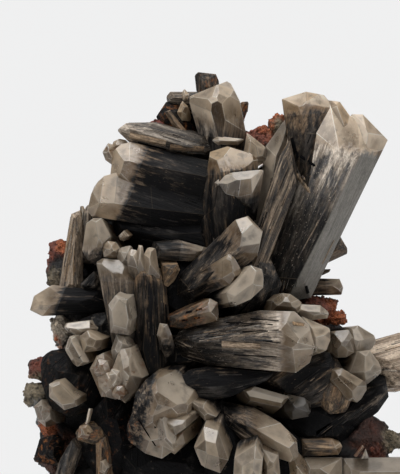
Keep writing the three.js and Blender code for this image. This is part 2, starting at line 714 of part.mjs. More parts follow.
      ring: [
        [60, 90], [61, 94.5], [66, 96], [70, 95.5], [73, 90], [72, 84], [68, 81.5], [64, 81.5], [60.5, 84],
      ],
      y: -10, nose: 7, tilt: [38, 46], run: [-12, 26, -2],
    },
    {
      ring: [
        [70, 96.5], [74, 97.4], [79, 94], [82, 92.5], [83, 90], [82, 86.5], [79, 84], [72, 82], [68, 88],
      ],
      y: -6, nose: 8, tilt: [40, 34, 48], run: [-14, 22, -2],
    },
    {
      ring: [[57, 70], [59, 72.5], [66, 72], [72, 64], [68, 54], [60, 53], [56, 58], [54, 65]],
      y: -10, nose: 5, tilt: [40, 48], run: [-12, 22, 4],
    },
    {
      ring: [[22, 72], [46, 84], [62, 84], [68, 74], [60, 58], [40, 54]],
      y: -8, nose: 6, tilts: [44, 50, 40, 46], run: [-4, 26, 0],
    },
  ],
  right_far_crystal: [
    {
      ring: [
        [76, 88], [83, 89.5], [95, 93.5], [104, 96], [110, 91], [112, 81], [108, 71], [99, 65.5],
        [90, 65.8], [83, 71], [74, 78],
      ],
      y: 6, nose: 10, tilt: [46, 36, 42], run: [-6, 10, -2], tail: 45, rear: 6,
    },
  ],
  dark_diagonal_blade: [
    {
      ring: [[45, 42], [50, 52], [83, 72], [89, 70.5], [91, 64], [84, 54], [62, 37], [48, 34]],
      y: -2, nose: 8, tilt: [44, 36], run: [-4, 12, 4],
    },
    {
      ring: [[36, 52], [50, 60], [64, 58], [72, 46], [66, 36], [46, 36]],
      y: -4, nose: 6, tilts: [44, 50, 40, 46], run: [-4, 24, 4],
    },
  ],
  tan_crystal: [
    {
      ring: [[46, 40.5], [61, 40.5], [65, 39], [66.5, 36.5], [64, 33], [58, 32], [46, 32]],
      y: -15, nose: 4, tilt: [42, 36], run: [-2, 16, 2],
    },
  ],
  bottom_right_slabs: [
    {
      ring: [[44, 22], [47, 31.7], [65.8, 31.7], [66, 14], [48, 13]],
      y: -15, nose: 6, tilt: [42, 36, 48], run: [0, 16, 0],
    },
    {
      ring: [[65.8, 31.2], [79, 30.6], [95, 31.5], [104, 29], [107, 20], [102, 12], [66, 12]],
      y: -13, nose: 6, tilt: [42, 36, 48], run: [0, 16, 0],
    },
    {
      ring: [[39, 31], [44, 34], [49, 28], [52, 20], [45, 17], [40, 22]],
      y: -19, nose: 4, tilt: [42, 36], run: [-2, 18, 4],
    },
  ],
  black_left_crystal: [
    {
      ring: [
        [-85, 81.5], [-79, 85], [-73, 84], [-60, 78], [-56, 70], [-58, 56], [-70, 52], [-80, 56],
        [-84, 68],
      ],
      y: -10, nose: 8, tilt: [42, 50, 36], run: [14, 20, 2],
    },
    {
      ring: [[-88, 57], [-84, 60.5], [-78, 58], [-77, 49], [-82, 46.5], [-86, 50]],
      y: -8, nose: 4, tilt: [40, 32], run: [6, 12, 0],
    },
  ],
  left_block: [
    {
      ring: [[-85, 41], [-78, 43], [-74, 40], [-75, 27], [-88.5, 29.3], [-87.5, 32]],
      y: -9, nose: 5, tilt: [46, 36], run: [6, 14, 0],
    },
  ],
  back_top_crystals: [
    {
      ring: [[-20, 186], [-12, 191], [-3, 188], [0, 178], [-8, 128], [-26, 126], [-27, 150]],
      y: -44, nose: 13, tilts: [44, 36, 40, 50], run: [4, 22, -4], back: true,
    },
    {
      ring: [[-34, 172], [-28, 178], [-20, 174], [-17, 160], [-22, 140], [-32, 146]],
      y: -42, nose: 8, tilts: [36, 46, 42, 40], run: [5, 20, -4], back: true,
    },
  ],
  back_blades: [
    {
      ring: [[26, 178], [34, 184], [42, 178], [43, 166], [28, 126], [16, 130], [18, 152]],
      y: -42, nose: 10, tilts: [42, 36, 48, 50], run: [-4, 20, -4], back: true,
    },
    {
      ring: [[36, 150], [43, 158], [49, 151], [48, 138], [36, 122], [26, 132]],
      y: -41, nose: 7, tilts: [36, 44, 40, 40], run: [-6, 18, -4], back: true,
    },
  ],
  back_left_crystals: [
    {
      ring: [[-50, 150], [-44, 156], [-36, 153], [-33, 142], [-36, 120], [-48, 124]],
      y: -44, nose: 9, tilts: [42, 36, 48, 40], run: [8, 22, -6], back: true,
    },
    {
      ring: [[-58, 118], [-50, 129], [-40, 126], [-36, 112], [-44, 98], [-56, 100]],
      y: -48, nose: 10, tilts: [36, 44, 40, 42], run: [10, 26, 0], back: true,
    },
    {
      ring: [[-39, 118], [-30, 126], [-20, 120], [-18, 108], [-28, 98], [-41, 104]],
      y: -56, nose: 9, tilts: [40, 34, 44, 40], run: [5, 26, 0], back: true,
    },
  ],
  back_barrel_crystals: [
    {
      ring: [[-22, 96], [-14, 108], [0, 112], [12, 106], [16, 92], [10, 80], [-4, 76], [-18, 82]],
      y: -68, nose: 12, tilts: [42, 34, 48, 40], run: [4, 30, 2], back: true,
    },
    {
      ring: [[8, 106], [18, 113], [29, 106], [30, 92], [22, 84], [9, 88]],
      y: -61, nose: 9, tilts: [36, 46, 42, 40], run: [-4, 26, 0], back: true,
    },
    {
      ring: [[-16, 82], [-6, 86], [4, 80], [6, 66], [-3, 56], [-14, 60]],
      y: -64, nose: 9, tilts: [40, 34, 44, 46], run: [3, 28, 3], back: true,
    },
  ],
  back_right_crystals: [
    {
      ring: [[28, 124], [36, 131], [46, 126], [48, 112], [40, 102], [28, 106]],
      y: -50, nose: 9, tilts: [42, 36, 48, 40], run: [-8, 26, -2], back: true,
    },
    {
      ring: [[42, 110], [52, 113], [61, 104], [62, 90], [54, 84], [42, 90]],
      y: -50, nose: 8, tilts: [36, 44, 40, 42], run: [-10, 26, 0], back: true,
    },
    {
      ring: [[46, 92], [56, 95], [66, 86], [68, 72], [58, 64], [46, 72]],
      y: -47, nose: 9, tilts: [40, 34, 44, 40], run: [-12, 24, 0], back: true,
    },
  ],
  back_lower_crystals: [
    {
      ring: [[-47, 50], [-34, 60], [-22, 56], [-18, 40], [-26, 28], [-44, 32]],
      y: -60, nose: 10, tilts: [42, 36, 48, 40], run: [8, 28, 4], back: true,
    },
    {
      ring: [[-58, 48], [-50, 56], [-38, 52], [-37, 34], [-46, 26], [-56, 30]],
      y: -52, nose: 8, tilts: [36, 44, 40, 42], run: [10, 26, 4], back: true,
    },
    {
      ring: [[-64, 72], [-56, 79], [-44, 73], [-42, 56], [-50, 46], [-62, 54]],
      y: -47, nose: 9, tilts: [40, 34, 44, 40], run: [12, 24, 2], back: true,
    },
  ],
  back_foot_crystals: [
    {
      ring: [[14, 50], [24, 58], [36, 52], [39, 36], [29, 24], [16, 28]],
      y: -60, nose: 10, tilts: [42, 36, 48, 40], run: [-6, 28, 4], back: true,
    },
    {
      ring: [[34, 46], [44, 54], [57, 47], [59, 32], [48, 22], [36, 26]],
      y: -52, nose: 9, tilts: [36, 44, 40, 42], run: [-8, 26, 4], back: true,
    },
    {
      ring: [[-5, 40], [5, 48], [18, 43], [20, 26], [8, 17], [-5, 23]],
      y: -64, nose: 9, tilts: [40, 34, 44, 40], run: [0, 28, 4], back: true,
    },
  ],
};

function joined(solids) {
  return Manifold.union(solids);
}

// Where a neighbour cuts slivers off a crystal, only its largest body is kept.
function largestBody(solid) {
  return solid.decompose().sort((a, b) => b.volume() - a.volume())[0];
}

const finish = {
  matrix: { color: 0x7a4630, roughness: 0.95, metalness: 0 },
  crystal: { color: 0x8f867a, roughness: 0.3, metalness: 0 },
};

const group = new THREE.Group();
group.name = 'selenite_cluster';

function addMesh(name, solid, look) {
  const { min, max } = solid.boundingBox();
  const anchor = new THREE.Vector3(...min).add(new THREE.Vector3(...max)).multiplyScalar(0.5).round();
  const mesh = new THREE.Mesh(geometryOf(solid, anchor), new THREE.MeshStandardMaterial(look));
  mesh.name = name;
  mesh.position.copy(anchor);
  group.add(mesh);
}

// The matrix is cut off flat at the base; the crystals stand against it and against each other.
const matrix = joined(matrixLumps.map((item) => lump(item))).trimByPlane([0, 0, 1], BASE_Z);
addMesh('matrix', largestBody(matrix), finish.matrix);

const taken = [joined(matrixLumps.map((item) => lump(item, 1.6 * GAP)))];
for (const [name, members] of Object.entries(bunches)) {
  const whole = joined(members.map((member) => crystal(member)));
  const free = whole.subtract(joined(taken)).trimByPlane([0, 0, 1], BASE_Z);
  addMesh(name, largestBody(free), finish.crystal);
  taken.push(joined(members.map((member) => crystal(member, GAP))));
}

export default group;
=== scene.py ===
import math
import random

import bmesh
import bpy
from mathutils import Matrix, Vector, noise
from mathutils.bvhtree import BVHTree
from mathutils.kdtree import KDTree


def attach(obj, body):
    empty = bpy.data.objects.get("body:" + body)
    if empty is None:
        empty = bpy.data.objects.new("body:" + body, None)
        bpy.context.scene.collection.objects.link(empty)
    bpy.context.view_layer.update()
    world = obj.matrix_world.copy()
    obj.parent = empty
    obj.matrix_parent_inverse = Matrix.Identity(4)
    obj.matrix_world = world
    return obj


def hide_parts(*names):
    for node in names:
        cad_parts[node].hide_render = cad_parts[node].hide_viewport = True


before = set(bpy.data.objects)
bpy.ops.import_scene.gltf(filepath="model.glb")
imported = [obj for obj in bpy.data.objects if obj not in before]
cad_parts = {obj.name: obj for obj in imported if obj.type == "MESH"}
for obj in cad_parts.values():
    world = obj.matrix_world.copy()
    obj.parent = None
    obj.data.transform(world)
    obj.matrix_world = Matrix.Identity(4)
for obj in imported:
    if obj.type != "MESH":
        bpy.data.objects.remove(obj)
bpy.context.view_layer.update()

# Camera: level with the middle of the cluster, far away with a long lens, so that the crystals are
# seen almost without perspective.
SENSOR_WIDTH = 36
VIEW_DISTANCE = 4.0
VIEW_HEIGHT = 0.237
lens = bpy.data.cameras.new("long_lens")
lens.lens = SENSOR_WIDTH * VIEW_DISTANCE / VIEW_HEIGHT
lens.clip_end = 50
camera = bpy.data.objects.new("camera", lens)
camera.location = (-0.005, -VIEW_DISTANCE, 0.1415)
camera.rotation_euler = (math.radians(90), 0, 0)
bpy.context.scene.collection.objects.link(camera)
bpy.context.scene.camera = camera
bpy.context.scene.view_settings.view_transform = "Standard"

# Studio: a plain pale round table top under the cluster, a bright pale room round it, a big soft
# light at the upper left in front, a weaker one at the right and one above for the crystal tops.
TABLE_RADIUS = 0.7
PAPER = (0.82, 0.82, 0.82, 1)
WALL = (0.866, 0.868, 0.870, 1)
FRONT_OF_ROOM, BACK_OF_ROOM = -0.35, 0.6
FRONT_GLOW, BACK_GLOW = 0.04, 0.8
table = bmesh.new()
bmesh.ops.create_circle(table, cap_ends=True, radius=TABLE_RADIUS, segments=96)
table_mesh = bpy.data.meshes.new("table_top")
table.to_mesh(table_mesh)
table.free()
table_top = bpy.data.objects.new("table_top", table_mesh)
bpy.context.scene.collection.objects.link(table_top)
paper = bpy.data.materials.new("pale_paper")
paper.use_nodes = True
paper.node_tree.nodes["Principled BSDF"].inputs["Base Color"].default_value = PAPER
paper.node_tree.nodes["Principled BSDF"].inputs["Roughness"].default_value = 0.9
table_mesh.materials.append(paper)

room = bpy.data.worlds.new("pale_room")
room.use_nodes = True
bpy.context.scene.world = room
seen_room = room.node_tree.nodes.new("ShaderNodeBackground")
seen_room.inputs["Color"].default_value = WALL
lit_room = room.node_tree.nodes["Background"]
lit_room.inputs["Color"].default_value = (1, 1, 1, 1)
room_side = room.node_tree.nodes.new("ShaderNodeTexCoord")
room_axes = room.node_tree.nodes.new("ShaderNodeSeparateXYZ")
room_glow = room.node_tree.nodes.new("ShaderNodeMapRange")
room_glow.interpolation_type = "SMOOTHSTEP"
room_glow.inputs["From Min"].default_value = FRONT_OF_ROOM
room_glow.inputs["From Max"].default_value = BACK_OF_ROOM
room_glow.inputs["To Min"].default_value = FRONT_GLOW
room_glow.inputs["To Max"].default_value = BACK_GLOW
ray = room.node_tree.nodes.new("ShaderNodeLightPath")
either = room.node_tree.nodes.new("ShaderNodeMixShader")
for source, target in (
    (room_side.outputs["Generated"], room_axes.inputs[0]),
    (room_axes.outputs["Y"], room_glow.inputs["Value"]),
    (room_glow.outputs["Result"], lit_room.inputs["Strength"]),
    (ray.outputs["Is Camera Ray"], either.inputs["Fac"]),
    (lit_room.outputs[0], either.inputs[1]),
    (seen_room.outputs[0], either.inputs[2]),
    (either.outputs[0], room.node_tree.nodes["World Output"].inputs["Surface"]),
):
    room.node_tree.links.new(source, target)


def hang_light(name, place, target, size, power):
    light = bpy.data.lights.new(name, "AREA")
    light.shape = "DISK"
    light.size = size
    light.energy = power
    lamp = bpy.data.objects.new(name, light)
    lamp.location = place
    lamp.rotation_euler = (Vector(target) - Vector(place)).to_track_quat("-Z", "Y").to_euler()
    bpy.context.scene.collection.objects.link(lamp)


hang_light("key_light", (-0.8, -0.75, 0.8), (0, 0, 0.12), 0.9, 7)
hang_light("fill_light", (1.1, -0.5, 0.5), (0, 0, 0.1), 0.6, 4)
hang_light("top_light", (0.0, -0.3, 1.35), (0, 0, 0.15), 1.0, 20)

# Matrix: iron-stained clay that holds the crystals, cut off flat at the foot. Rusty and olive at the
# edges and on the back, painted nearly black as shade deep between the crystals. Sizes and places of
# the stains are in millimetres.
MM = 0.001
MM_IN_METRE = 1000
RUST = (0.27, 0.075, 0.024)
DARK_RED = (0.13, 0.035, 0.020)
OXBLOOD = (0.12, 0.025, 0.016)
BROWN = (0.075, 0.028, 0.016)
UMBER = (0.06, 0.018, 0.010)
DARK_BROWN = (0.035, 0.013, 0.008)
# Near black: the painted shade of the clay deep between the crystals, also used for two black spots in the
# stain list.
DEEP = (0.005, 0.004, 0.004)
OLIVE = (0.15, 0.12, 0.078)
CHALK = (0.40, 0.34, 0.27)
SLATE = (0.14, 0.145, 0.145)
stains = [
    ((30, 16, 200), 13, RUST), ((24, 16, 194), 9, DARK_RED), ((34, 10, 197), 5, OLIVE),
    ((27, 10, 199), 5, RUST), ((-26, 12, 200), 8, OXBLOOD), ((-80, 12, 134), 9, DARK_RED),
    ((-74, 8, 139), 5, RUST), ((-76, 8, 125), 7, DEEP), ((-80, 8, 118), 7, OLIVE),
    ((-78, 4, 95), 8, CHALK), ((-80, 2, 88), 5, RUST), ((-86, -2, 75), 8, DARK_RED),
    ((-89, 0, 63), 9, OLIVE), ((-85, -2, 53), 7, SLATE), ((-82, -4, 45), 5, RUST),
    ((-78, -4, 33), 9, DEEP), ((-84, -4, 24), 7, BROWN), ((60, 8, 103), 12, RUST),
    ((52, 8, 108), 8, DARK_RED), ((80, -2, 44), 12, DARK_BROWN), ((86, 0, 32), 6, DARK_RED),
    ((92, 4, 40), 7, OLIVE), ((74, -2, 36), 5, BROWN), ((84, -4, 49), 5, UMBER),
    ((-70, 0, 36), 8, BROWN),
]
CLAY_EDGE = 0.0024
STAIN_EDGE = CLAY_EDGE / 2
STAIN_REACH = 1.2
STAIN_RIM, STAIN_FADE = 1.3, 0.5
FLAT_FOOT = 0.0006
LUMP_HEIGHT, CRUMB_HEIGHT, SUNK = 1.5, 1.1, 0.5
BACK_BEGINS, BACK_FADE = 34, 12
FOOT_TOP, FOOT_FADE = 16, 10
CRUMB_COUNT = 420


def halve(solid, edges):
    bmesh.ops.subdivide_edges(solid, edges=edges, cuts=1, use_grid_fill=True)
    bmesh.ops.triangulate(solid, faces=[face for face in solid.faces if len(face.verts) > 3])


def share(value):
    return min(max(value, 0), 1)


clay_body = bmesh.new()
clay_body.from_mesh(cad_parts["matrix"].data)
bmesh.ops.remove_doubles(clay_body, verts=clay_body.verts[:], dist=2e-5)
for _ in range(5):
    halve(clay_body, [edge for edge in clay_body.edges if edge.calc_length() > CLAY_EDGE])
stain_spots = KDTree(len(stains))
for i, (place, _, _) in enumerate(stains):
    stain_spots.insert(place, i)
stain_spots.balance()
for _ in range(2):
    stained_edges = []
    for edge in clay_body.edges:
        _, i, away = stain_spots.find((edge.verts[0].co + edge.verts[1].co) * MM_IN_METRE / 2)
        if away < STAIN_REACH * stains[i][1] and edge.calc_length() > STAIN_EDGE:
            stained_edges.append(edge)
    halve(clay_body, stained_edges)
bmesh.ops.smooth_vert(
    clay_body, verts=[v for v in clay_body.verts if v.co.z > 0.003], factor=0.5,
    use_axis_x=True, use_axis_y=True, use_axis_z=True,
)
clay_body.normal_update()
rind = clay_body.verts.layers.float_color.new("clay")
for v in clay_body.verts:
    p = v.co * MM_IN_METRE
    lumps = noise.fractal(p * 0.16, 0.9, 2.1, 5)
    crumbs = noise.noise(p * 0.9)
    if v.co.z > FLAT_FOOT:
        v.co += v.normal * (lumps * LUMP_HEIGHT + abs(crumbs) * CRUMB_HEIGHT - SUNK) * MM
        v.co.z = max(v.co.z, 0.0)
    # Painted shade: the clay is near black all over, except on the back and at the foot, which take rust
    # and olive.
    patch = noise.noise(p * 0.05 + Vector((7, 3, 1)))
    back = share((p.y - BACK_BEGINS + 10 * patch) / BACK_FADE)
    below = share((FOOT_TOP - p.z + 8 * patch) / FOOT_FADE)
    open_air = Vector(RUST).lerp(Vector(OLIVE), share(patch * 2.2 + 0.45)) * 0.75
    colour = Vector(DEEP).lerp(open_air, max(back, below))
    for place, reach, stain_colour in stains:
        near = (p - Vector(place)).length / reach + 0.35 * crumbs + 0.3 * lumps
        if near < STAIN_RIM:
            colour = colour.lerp(Vector(stain_colour), share((STAIN_RIM - near) / STAIN_FADE))
    v[rind] = (*colour * (0.75 + 0.9 * abs(crumbs)), 1)

luck = random.Random(12)
loose_crumbs = bmesh.new()
crumb_rind = loose_crumbs.verts.layers.float_color.new("clay")
stained = [v for v in clay_body.verts if max(v[rind][:3]) > 0.05 and v.co.y < 0.03 and v.co.z > 0.02]
stained.sort(key=lambda v: [round(x, 7) for x in v.co])
for v in luck.sample(stained, CRUMB_COUNT):
    crumb_colour = Vector(v[rind][:3]) * luck.uniform(0.4, 1.7)
    radius = luck.uniform(0.4, 1.5) * MM
    turned = Matrix.Rotation(luck.uniform(0, 6), 4, Vector((luck.random(), luck.random(), 1)))
    stretch = Matrix.Diagonal((1, luck.uniform(0.6, 1), luck.uniform(0.5, 1), 1))
    crumb = bmesh.ops.create_icosphere(
        loose_crumbs, subdivisions=1, radius=radius, matrix=Matrix.Translation(v.co) @ turned @ stretch
    )["verts"]
    for w in crumb:
        w.co += Vector([luck.uniform(-0.25, 0.25) for _ in range(3)]) * radius
        w[crumb_rind] = (*crumb_colour, 1)
crumb_mesh = bpy.data.meshes.new("crumbs")
loose_crumbs.to_mesh(crumb_mesh)
loose_crumbs.free()
clay_body.from_mesh(crumb_mesh)
bpy.data.meshes.remove(crumb_mesh)
clay_mesh = bpy.data.meshes.new("clay_matrix")
clay_body.to_mesh(clay_mesh)
clay_body.free()
clay_matrix = bpy.data.objects.new("clay_matrix", clay_mesh)
bpy.context.scene.collection.objects.link(clay_matrix)
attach(clay_matrix, "root")
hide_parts("matrix")

clay = bpy.data.materials.new("iron_stained_clay")
clay.use_nodes = True
tree = clay.node_tree
tree.nodes.clear()


def node(kind, **settings):
    made = tree.nodes.new(kind)
    for key, value in settings.items():
        setattr(made, key, value)
    return made


def feed(made, slot, source):
    if isinstance(source, bpy.types.NodeSocket):
        tree.links.new(source, made.inputs[slot])
    else:
        made.inputs[slot].default_value = source
    return made


def read(name):
    return node("ShaderNodeAttribute", attribute_name=name)


def sums(operation, a, b=0.0, c=0.0):
    made = node("ShaderNodeMath", operation=operation)
    for slot, source in enumerate((a, b, c)):
        feed(made, slot, source)
    return made.outputs[0]


def scaled(value, factor, offset):
    return sums("MULTIPLY_ADD", value, factor, offset)


def stretched(vector, along, across):
    made = node("ShaderNodeVectorMath", operation="MULTIPLY")
    feed(made, 0, vector)
    feed(made, 1, (along, across, across))
    return made.outputs[0]


def cloudy(vector, detail, roughness):
    made = node("ShaderNodeTexNoise")
    feed(made, "Vector", vector)
    feed(made, "Scale", 1.0)
    feed(made, "Detail", detail)
    feed(made, "Roughness", roughness)
    return made.outputs["Fac"]


def between(value, low, high, smooth=True):
    made = node("ShaderNodeMapRange", interpolation_type="SMOOTHSTEP" if smooth else "LINEAR")
    feed(made, "Value", value)
    feed(made, "From Min", low)
    feed(made, "From Max", high)
    return made.outputs["Result"]


def tinted(factor, first, second):
    made = node("ShaderNodeMix", data_type="RGBA", blend_type="MIX")
    feed(made, 0, factor)
    feed(made, 6, first if isinstance(first, bpy.types.NodeSocket) else (*first, 1))
    feed(made, 7, second if isinstance(second, bpy.types.NodeSocket) else (*second, 1))
    return made.outputs[2]


def shaded(colour, amount):
    made = node("ShaderNodeVectorMath", operation="SCALE")
    feed(made, 0, colour)
    feed(made, "Scale", amount)
    return made.outputs[0]


spot = node("ShaderNodeTexCoord").outputs["Object"]
grit = cloudy(stretched(spot, 900, 900), 4.0, 0.7)
blotch = cloudy(stretched(spot, 220, 220), 3.0, 0.6)
earth = read("clay").outputs["Color"]
earth = shaded(earth, scaled(grit, 2.4, -0.15))
earth = tinted(between(blotch, 0.52, 0.72), earth, shaded(earth, 0.3))
earth = tinted(between(grit, 0.66, 0.8), earth, shaded(read("clay").outputs["Color"], 2.2))
clay_relief = node("ShaderNodeBump")
feed(clay_relief, "Strength", 0.9)
feed(clay_relief, "Distance", 0.0012)
feed(clay_relief, "Height", scaled(blotch, 0.8, grit))
clay_shader = node("ShaderNodeBsdfPrincipled")
feed(clay_shader, "Base Color", earth)
feed(clay_shader, "Roughness", scaled(grit, 0.25, 0.65))
feed(clay_shader, "Normal", clay_relief.outputs["Normal"])
output = node("ShaderNodeOutputMaterial")
tree.links.new(clay_shader.outputs[0], output.inputs["Surface"])
clay_mesh.materials.append(clay)

# Large blade. The biggest crystal: a broad, flat, dark blade that leans right, with three clear
# lobes at its end, a narrower blade grown on its front left and a smooth side with a painted grey
# sheen. Grown from the matrix.
selenite = bpy.data.materials.new("selenite")
selenite.use_nodes = True
tree = selenite.node_tree
tree.nodes.clear()

# Colours in pairs: of a cool crystal, and of a warm, iron-stained one.
COAL = (0.0022, 0.0022, 0.0026)
STEM = (0.040, 0.041, 0.043), (0.045, 0.037, 0.030)
TAN = (0.085, 0.080, 0.072), (0.125, 0.080, 0.046)
STRAW = (0.23, 0.222, 0.205), (0.25, 0.17, 0.10)
GLINT = (0.30, 0.285, 0.26), (0.34, 0.22, 0.12)
MILK = (0.735, 0.635, 0.515), (0.67, 0.485, 0.295)
HAZE = (0.13, 0.098, 0.068), (0.15, 0.09, 0.045)
WINDOW = (0.07, 0.058, 0.045), (0.085, 0.05, 0.026)
HOLLOW = (0.13, 0.10, 0.07), (0.15, 0.09, 0.045)
GOLD = (0.15, 0.105, 0.065), (0.24, 0.14, 0.062)
# Colours of the painted grey sheen on the large blade's smooth side.
SHEEN_DARK, SHEEN_PALE = (0.036, 0.034, 0.031), (0.115, 0.108, 0.096)
# Painted highlights on bevelled edges, of stems and of clear ends; then the colour of the veils.
EDGE_HIGHLIGHT_STEM, EDGE_HIGHLIGHT_TIP, VEIL = (0.16, 0.12, 0.08), (0.93, 0.89, 0.81), (0.72, 0.66, 0.55)
RUST_DARK, RUST_PALE = (0.05, 0.016, 0.008), (0.30, 0.115, 0.035)

grain = read("grain").outputs["Vector"]
bounds_of_clear = node("ShaderNodeSeparateXYZ")
feed(bounds_of_clear, 0, read("clear").outputs["Vector"])
look = node("ShaderNodeSeparateXYZ")
feed(look, 0, read("look").outputs["Vector"])
tone, warm, rust = look.outputs
shade = read("shade").outputs["Fac"]
facet_tone_and_light = read("facet_tone_and_light").outputs["Fac"]
edge_highlight = read("edge_highlight").outputs["Fac"]
border = read("border").outputs["Fac"]


def along_grain(along, across, detail, roughness):
    return cloudy(stretched(grain, along, across), detail, roughness)


def centred(value):
    return sums("SUBTRACT", value, 0.5)


def rest_of(value):
    return sums("SUBTRACT", 1.0, value)


def times(a, b):
    return sums("MULTIPLY", a, b)


bands = along_grain(0.012, 0.15, 3.0, 0.55)
streaks = along_grain(0.025, 0.5, 3.0, 0.6)
fine_streaks = along_grain(0.07, 1.5, 2.0, 0.6)
clouds = along_grain(0.10, 0.13, 3.0, 0.5)
fine_clouds = along_grain(0.22, 0.3, 4.0, 0.6)
specks = along_grain(0.7, 0.7, 3.0, 0.65)
weathering = along_grain(0.09, 0.24, 5.0, 0.62)

# How clear a spot is: the distance to the border of the clear end in millimetres, with a ragged rim.
edge_of_clear = sums("MINIMUM", bounds_of_clear.outputs[0], bounds_of_clear.outputs[1])
wander = scaled(centred(clouds), 2.0, times(centred(streaks), 3.0))
clearness = between(sums("ADD", sums("DIVIDE", edge_of_clear, border), wander), -1.0, 1.0)
near_clear = between(edge_of_clear, -13, -2)
# Darker from 10 to 42 mm below the clear end, on crystals with a clear end: partly the stem's own black,
# partly painted shade deep in the cluster.
rootward_black_and_shade = times(rest_of(between(edge_of_clear, -42, -10)), between(edge_of_clear, -150, -100))
outer = between(edge_of_clear, 1, 12)

# Stem: coal black, then grey, tan and straw in streaks along the crystal, black towards its root: partly
# its own black, partly painted shade deep in the cluster.
dark_share = scaled(centred(weathering), 0.7, scaled(centred(tone), 0.7, bands))
brown_share = scaled(centred(streaks), 0.8, scaled(centred(tone), 0.5, weathering))
brown_share = scaled(near_clear, 0.14, brown_share)
pale_share = scaled(centred(bands), 0.8, scaled(centred(tone), 0.45, streaks))
pale_share = scaled(near_clear, 0.06, pale_share)
body = tinted(between(dark_share, 0.3, 0.62), COAL, tinted(warm, *STEM))
body = tinted(between(brown_share, 0.46, 0.72), body, tinted(warm, *TAN))
body = tinted(between(pale_share, 0.58, 0.84), body, tinted(warm, *STRAW))
silvery = times(near_clear, between(tone, 0.62, 0.74))
# Stem brightness: streaks, specks and the facet tone with its painted top light, then the darkening towards
# the root and the silvery zone near the clear end.
for part, gain, floor in (
    (fine_streaks, 2.4, -0.2),
    (specks, 1.6, 0.2),
    (facet_tone_and_light, 0.3, 1.0),
    (rootward_black_and_shade, -0.85, 1.0),
    (silvery, 0.55, 1.0),
):
    body = shaded(body, scaled(part, gain, floor))
# Painted glints: bright specks along the grain of the stem.
glints = between(along_grain(0.5, 1.6, 2.0, 0.7), 0.64, 0.76)
glints = times(glints, between(sums("ADD", weathering, tone), 0.55, 1.3))
body = tinted(glints, body, tinted(warm, *GLINT))
# Painted highlights on the stem's bevelled edges, stronger on lighter stems.
body = tinted(times(times(edge_highlight, tone), 0.6), body, EDGE_HIGHLIGHT_STEM)
# Painted sheen: past its line the smooth side is a plain grey instead of the streaked stem.
sheen_side = between(bounds_of_clear.outputs[2], -0.5, 0.5)
painted_sheen_grey = shaded(tinted(weathering, SHEEN_DARK, SHEEN_PALE), scaled(specks, 0.9, 0.55))
body = tinted(sheen_side, body, painted_sheen_grey)

# Clear end: milky facets with darker middles, windows and veils, painted highlights on the bevelled edges
# and a golden rim.
# The facet tone, with its painted top light, brightens or darkens each face of the clear end.
lit_facet = scaled(fine_clouds, 0.3, scaled(facet_tone_and_light, 0.42, clouds))
milky = between(scaled(outer, 0.2, lit_facet), 0.3, 1.15, smooth=False)
milky = tinted(milky, tinted(warm, *HAZE), tinted(warm, *MILK))
window = between(along_grain(0.13, 0.13, 3.0, 0.6), 0.54, 0.68)
milky = tinted(times(window, scaled(outer, -0.5, 0.85)), milky, tinted(warm, *WINDOW))
hollow = scaled(centred(fine_clouds), 1.1, read("inner").outputs["Fac"])
milky = tinted(times(between(hollow, 0.1, 1.0), 0.62), milky, tinted(warm, *HOLLOW))
veils = sums("ABSOLUTE", centred(along_grain(0.10, 0.22, 4.0, 0.65)))
milky = tinted(times(rest_of(between(veils, 0.0, 0.03)), 0.2), milky, VEIL)
# Painted highlights on the clear end's bevelled edges.
milky = tinted(edge_highlight, milky, EDGE_HIGHLIGHT_TIP)
golden = rest_of(between(edge_of_clear, -1, 5.5))
milky = tinted(times(golden, 0.65), milky, tinted(warm, *GOLD))

surface = shaded(tinted(clearness, body, milky), shade)
blots = scaled(specks, 0.35, times(fine_clouds, 0.65))
stain = times(between(scaled(rust, 0.22, blots), 0.56, 0.76), between(rust, 0.0, 0.2))
surface = tinted(stain, surface, tinted(specks, RUST_DARK, RUST_PALE))

rough_body = scaled(fine_streaks, 0.4, scaled(tone, -0.55, 0.55))
rough_clear = scaled(clouds, 0.22, 0.2)
roughness = scaled(sums("SUBTRACT", rough_clear, rough_body), clearness, rough_body)
grooves = times(scaled(streaks, 1.2, times(fine_streaks, 0.5)), rest_of(clearness))
relief = node("ShaderNodeBump")
feed(relief, "Strength", 0.6)
feed(relief, "Distance", 0.001)
feed(relief, "Height", scaled(times(specks, 0.2), sums("SUBTRACT", 1.02, clearness), grooves))

crystal_shader = node("ShaderNodeBsdfPrincipled")
feed(crystal_shader, "Base Color", surface)
feed(crystal_shader, "Roughness", roughness)
feed(crystal_shader, "IOR", 1.52)
feed(crystal_shader, "Specular IOR Level", 0.32)
feed(crystal_shader, "Transmission Weight", times(clearness, 0.62))
feed(crystal_shader, "Normal", relief.outputs["Normal"])
absorbing = node("ShaderNodeVolumeAbsorption")
absorbing.inputs["Color"].default_value = (0.80, 0.72, 0.60, 1)
absorbing.inputs["Density"].default_value = 40
output = node("ShaderNodeOutputMaterial")
tree.links.new(crystal_shader.outputs[0], output.inputs["Surface"])
tree.links.new(absorbing.outputs[0], output.inputs["Volume"])

# The dark stems use the same pattern, but nothing passes through them and they shine less.
dark_selenite = selenite.copy()
dark_selenite.name = "dark_selenite"
for link in list(dark_selenite.node_tree.links):
    if link.to_socket.name in ("Transmission Weight", "Volume"):
        dark_selenite.node_tree.links.remove(link)
dark_selenite.node_tree.nodes["Principled BSDF"].inputs["Specular IOR Level"].default_value = 0.1

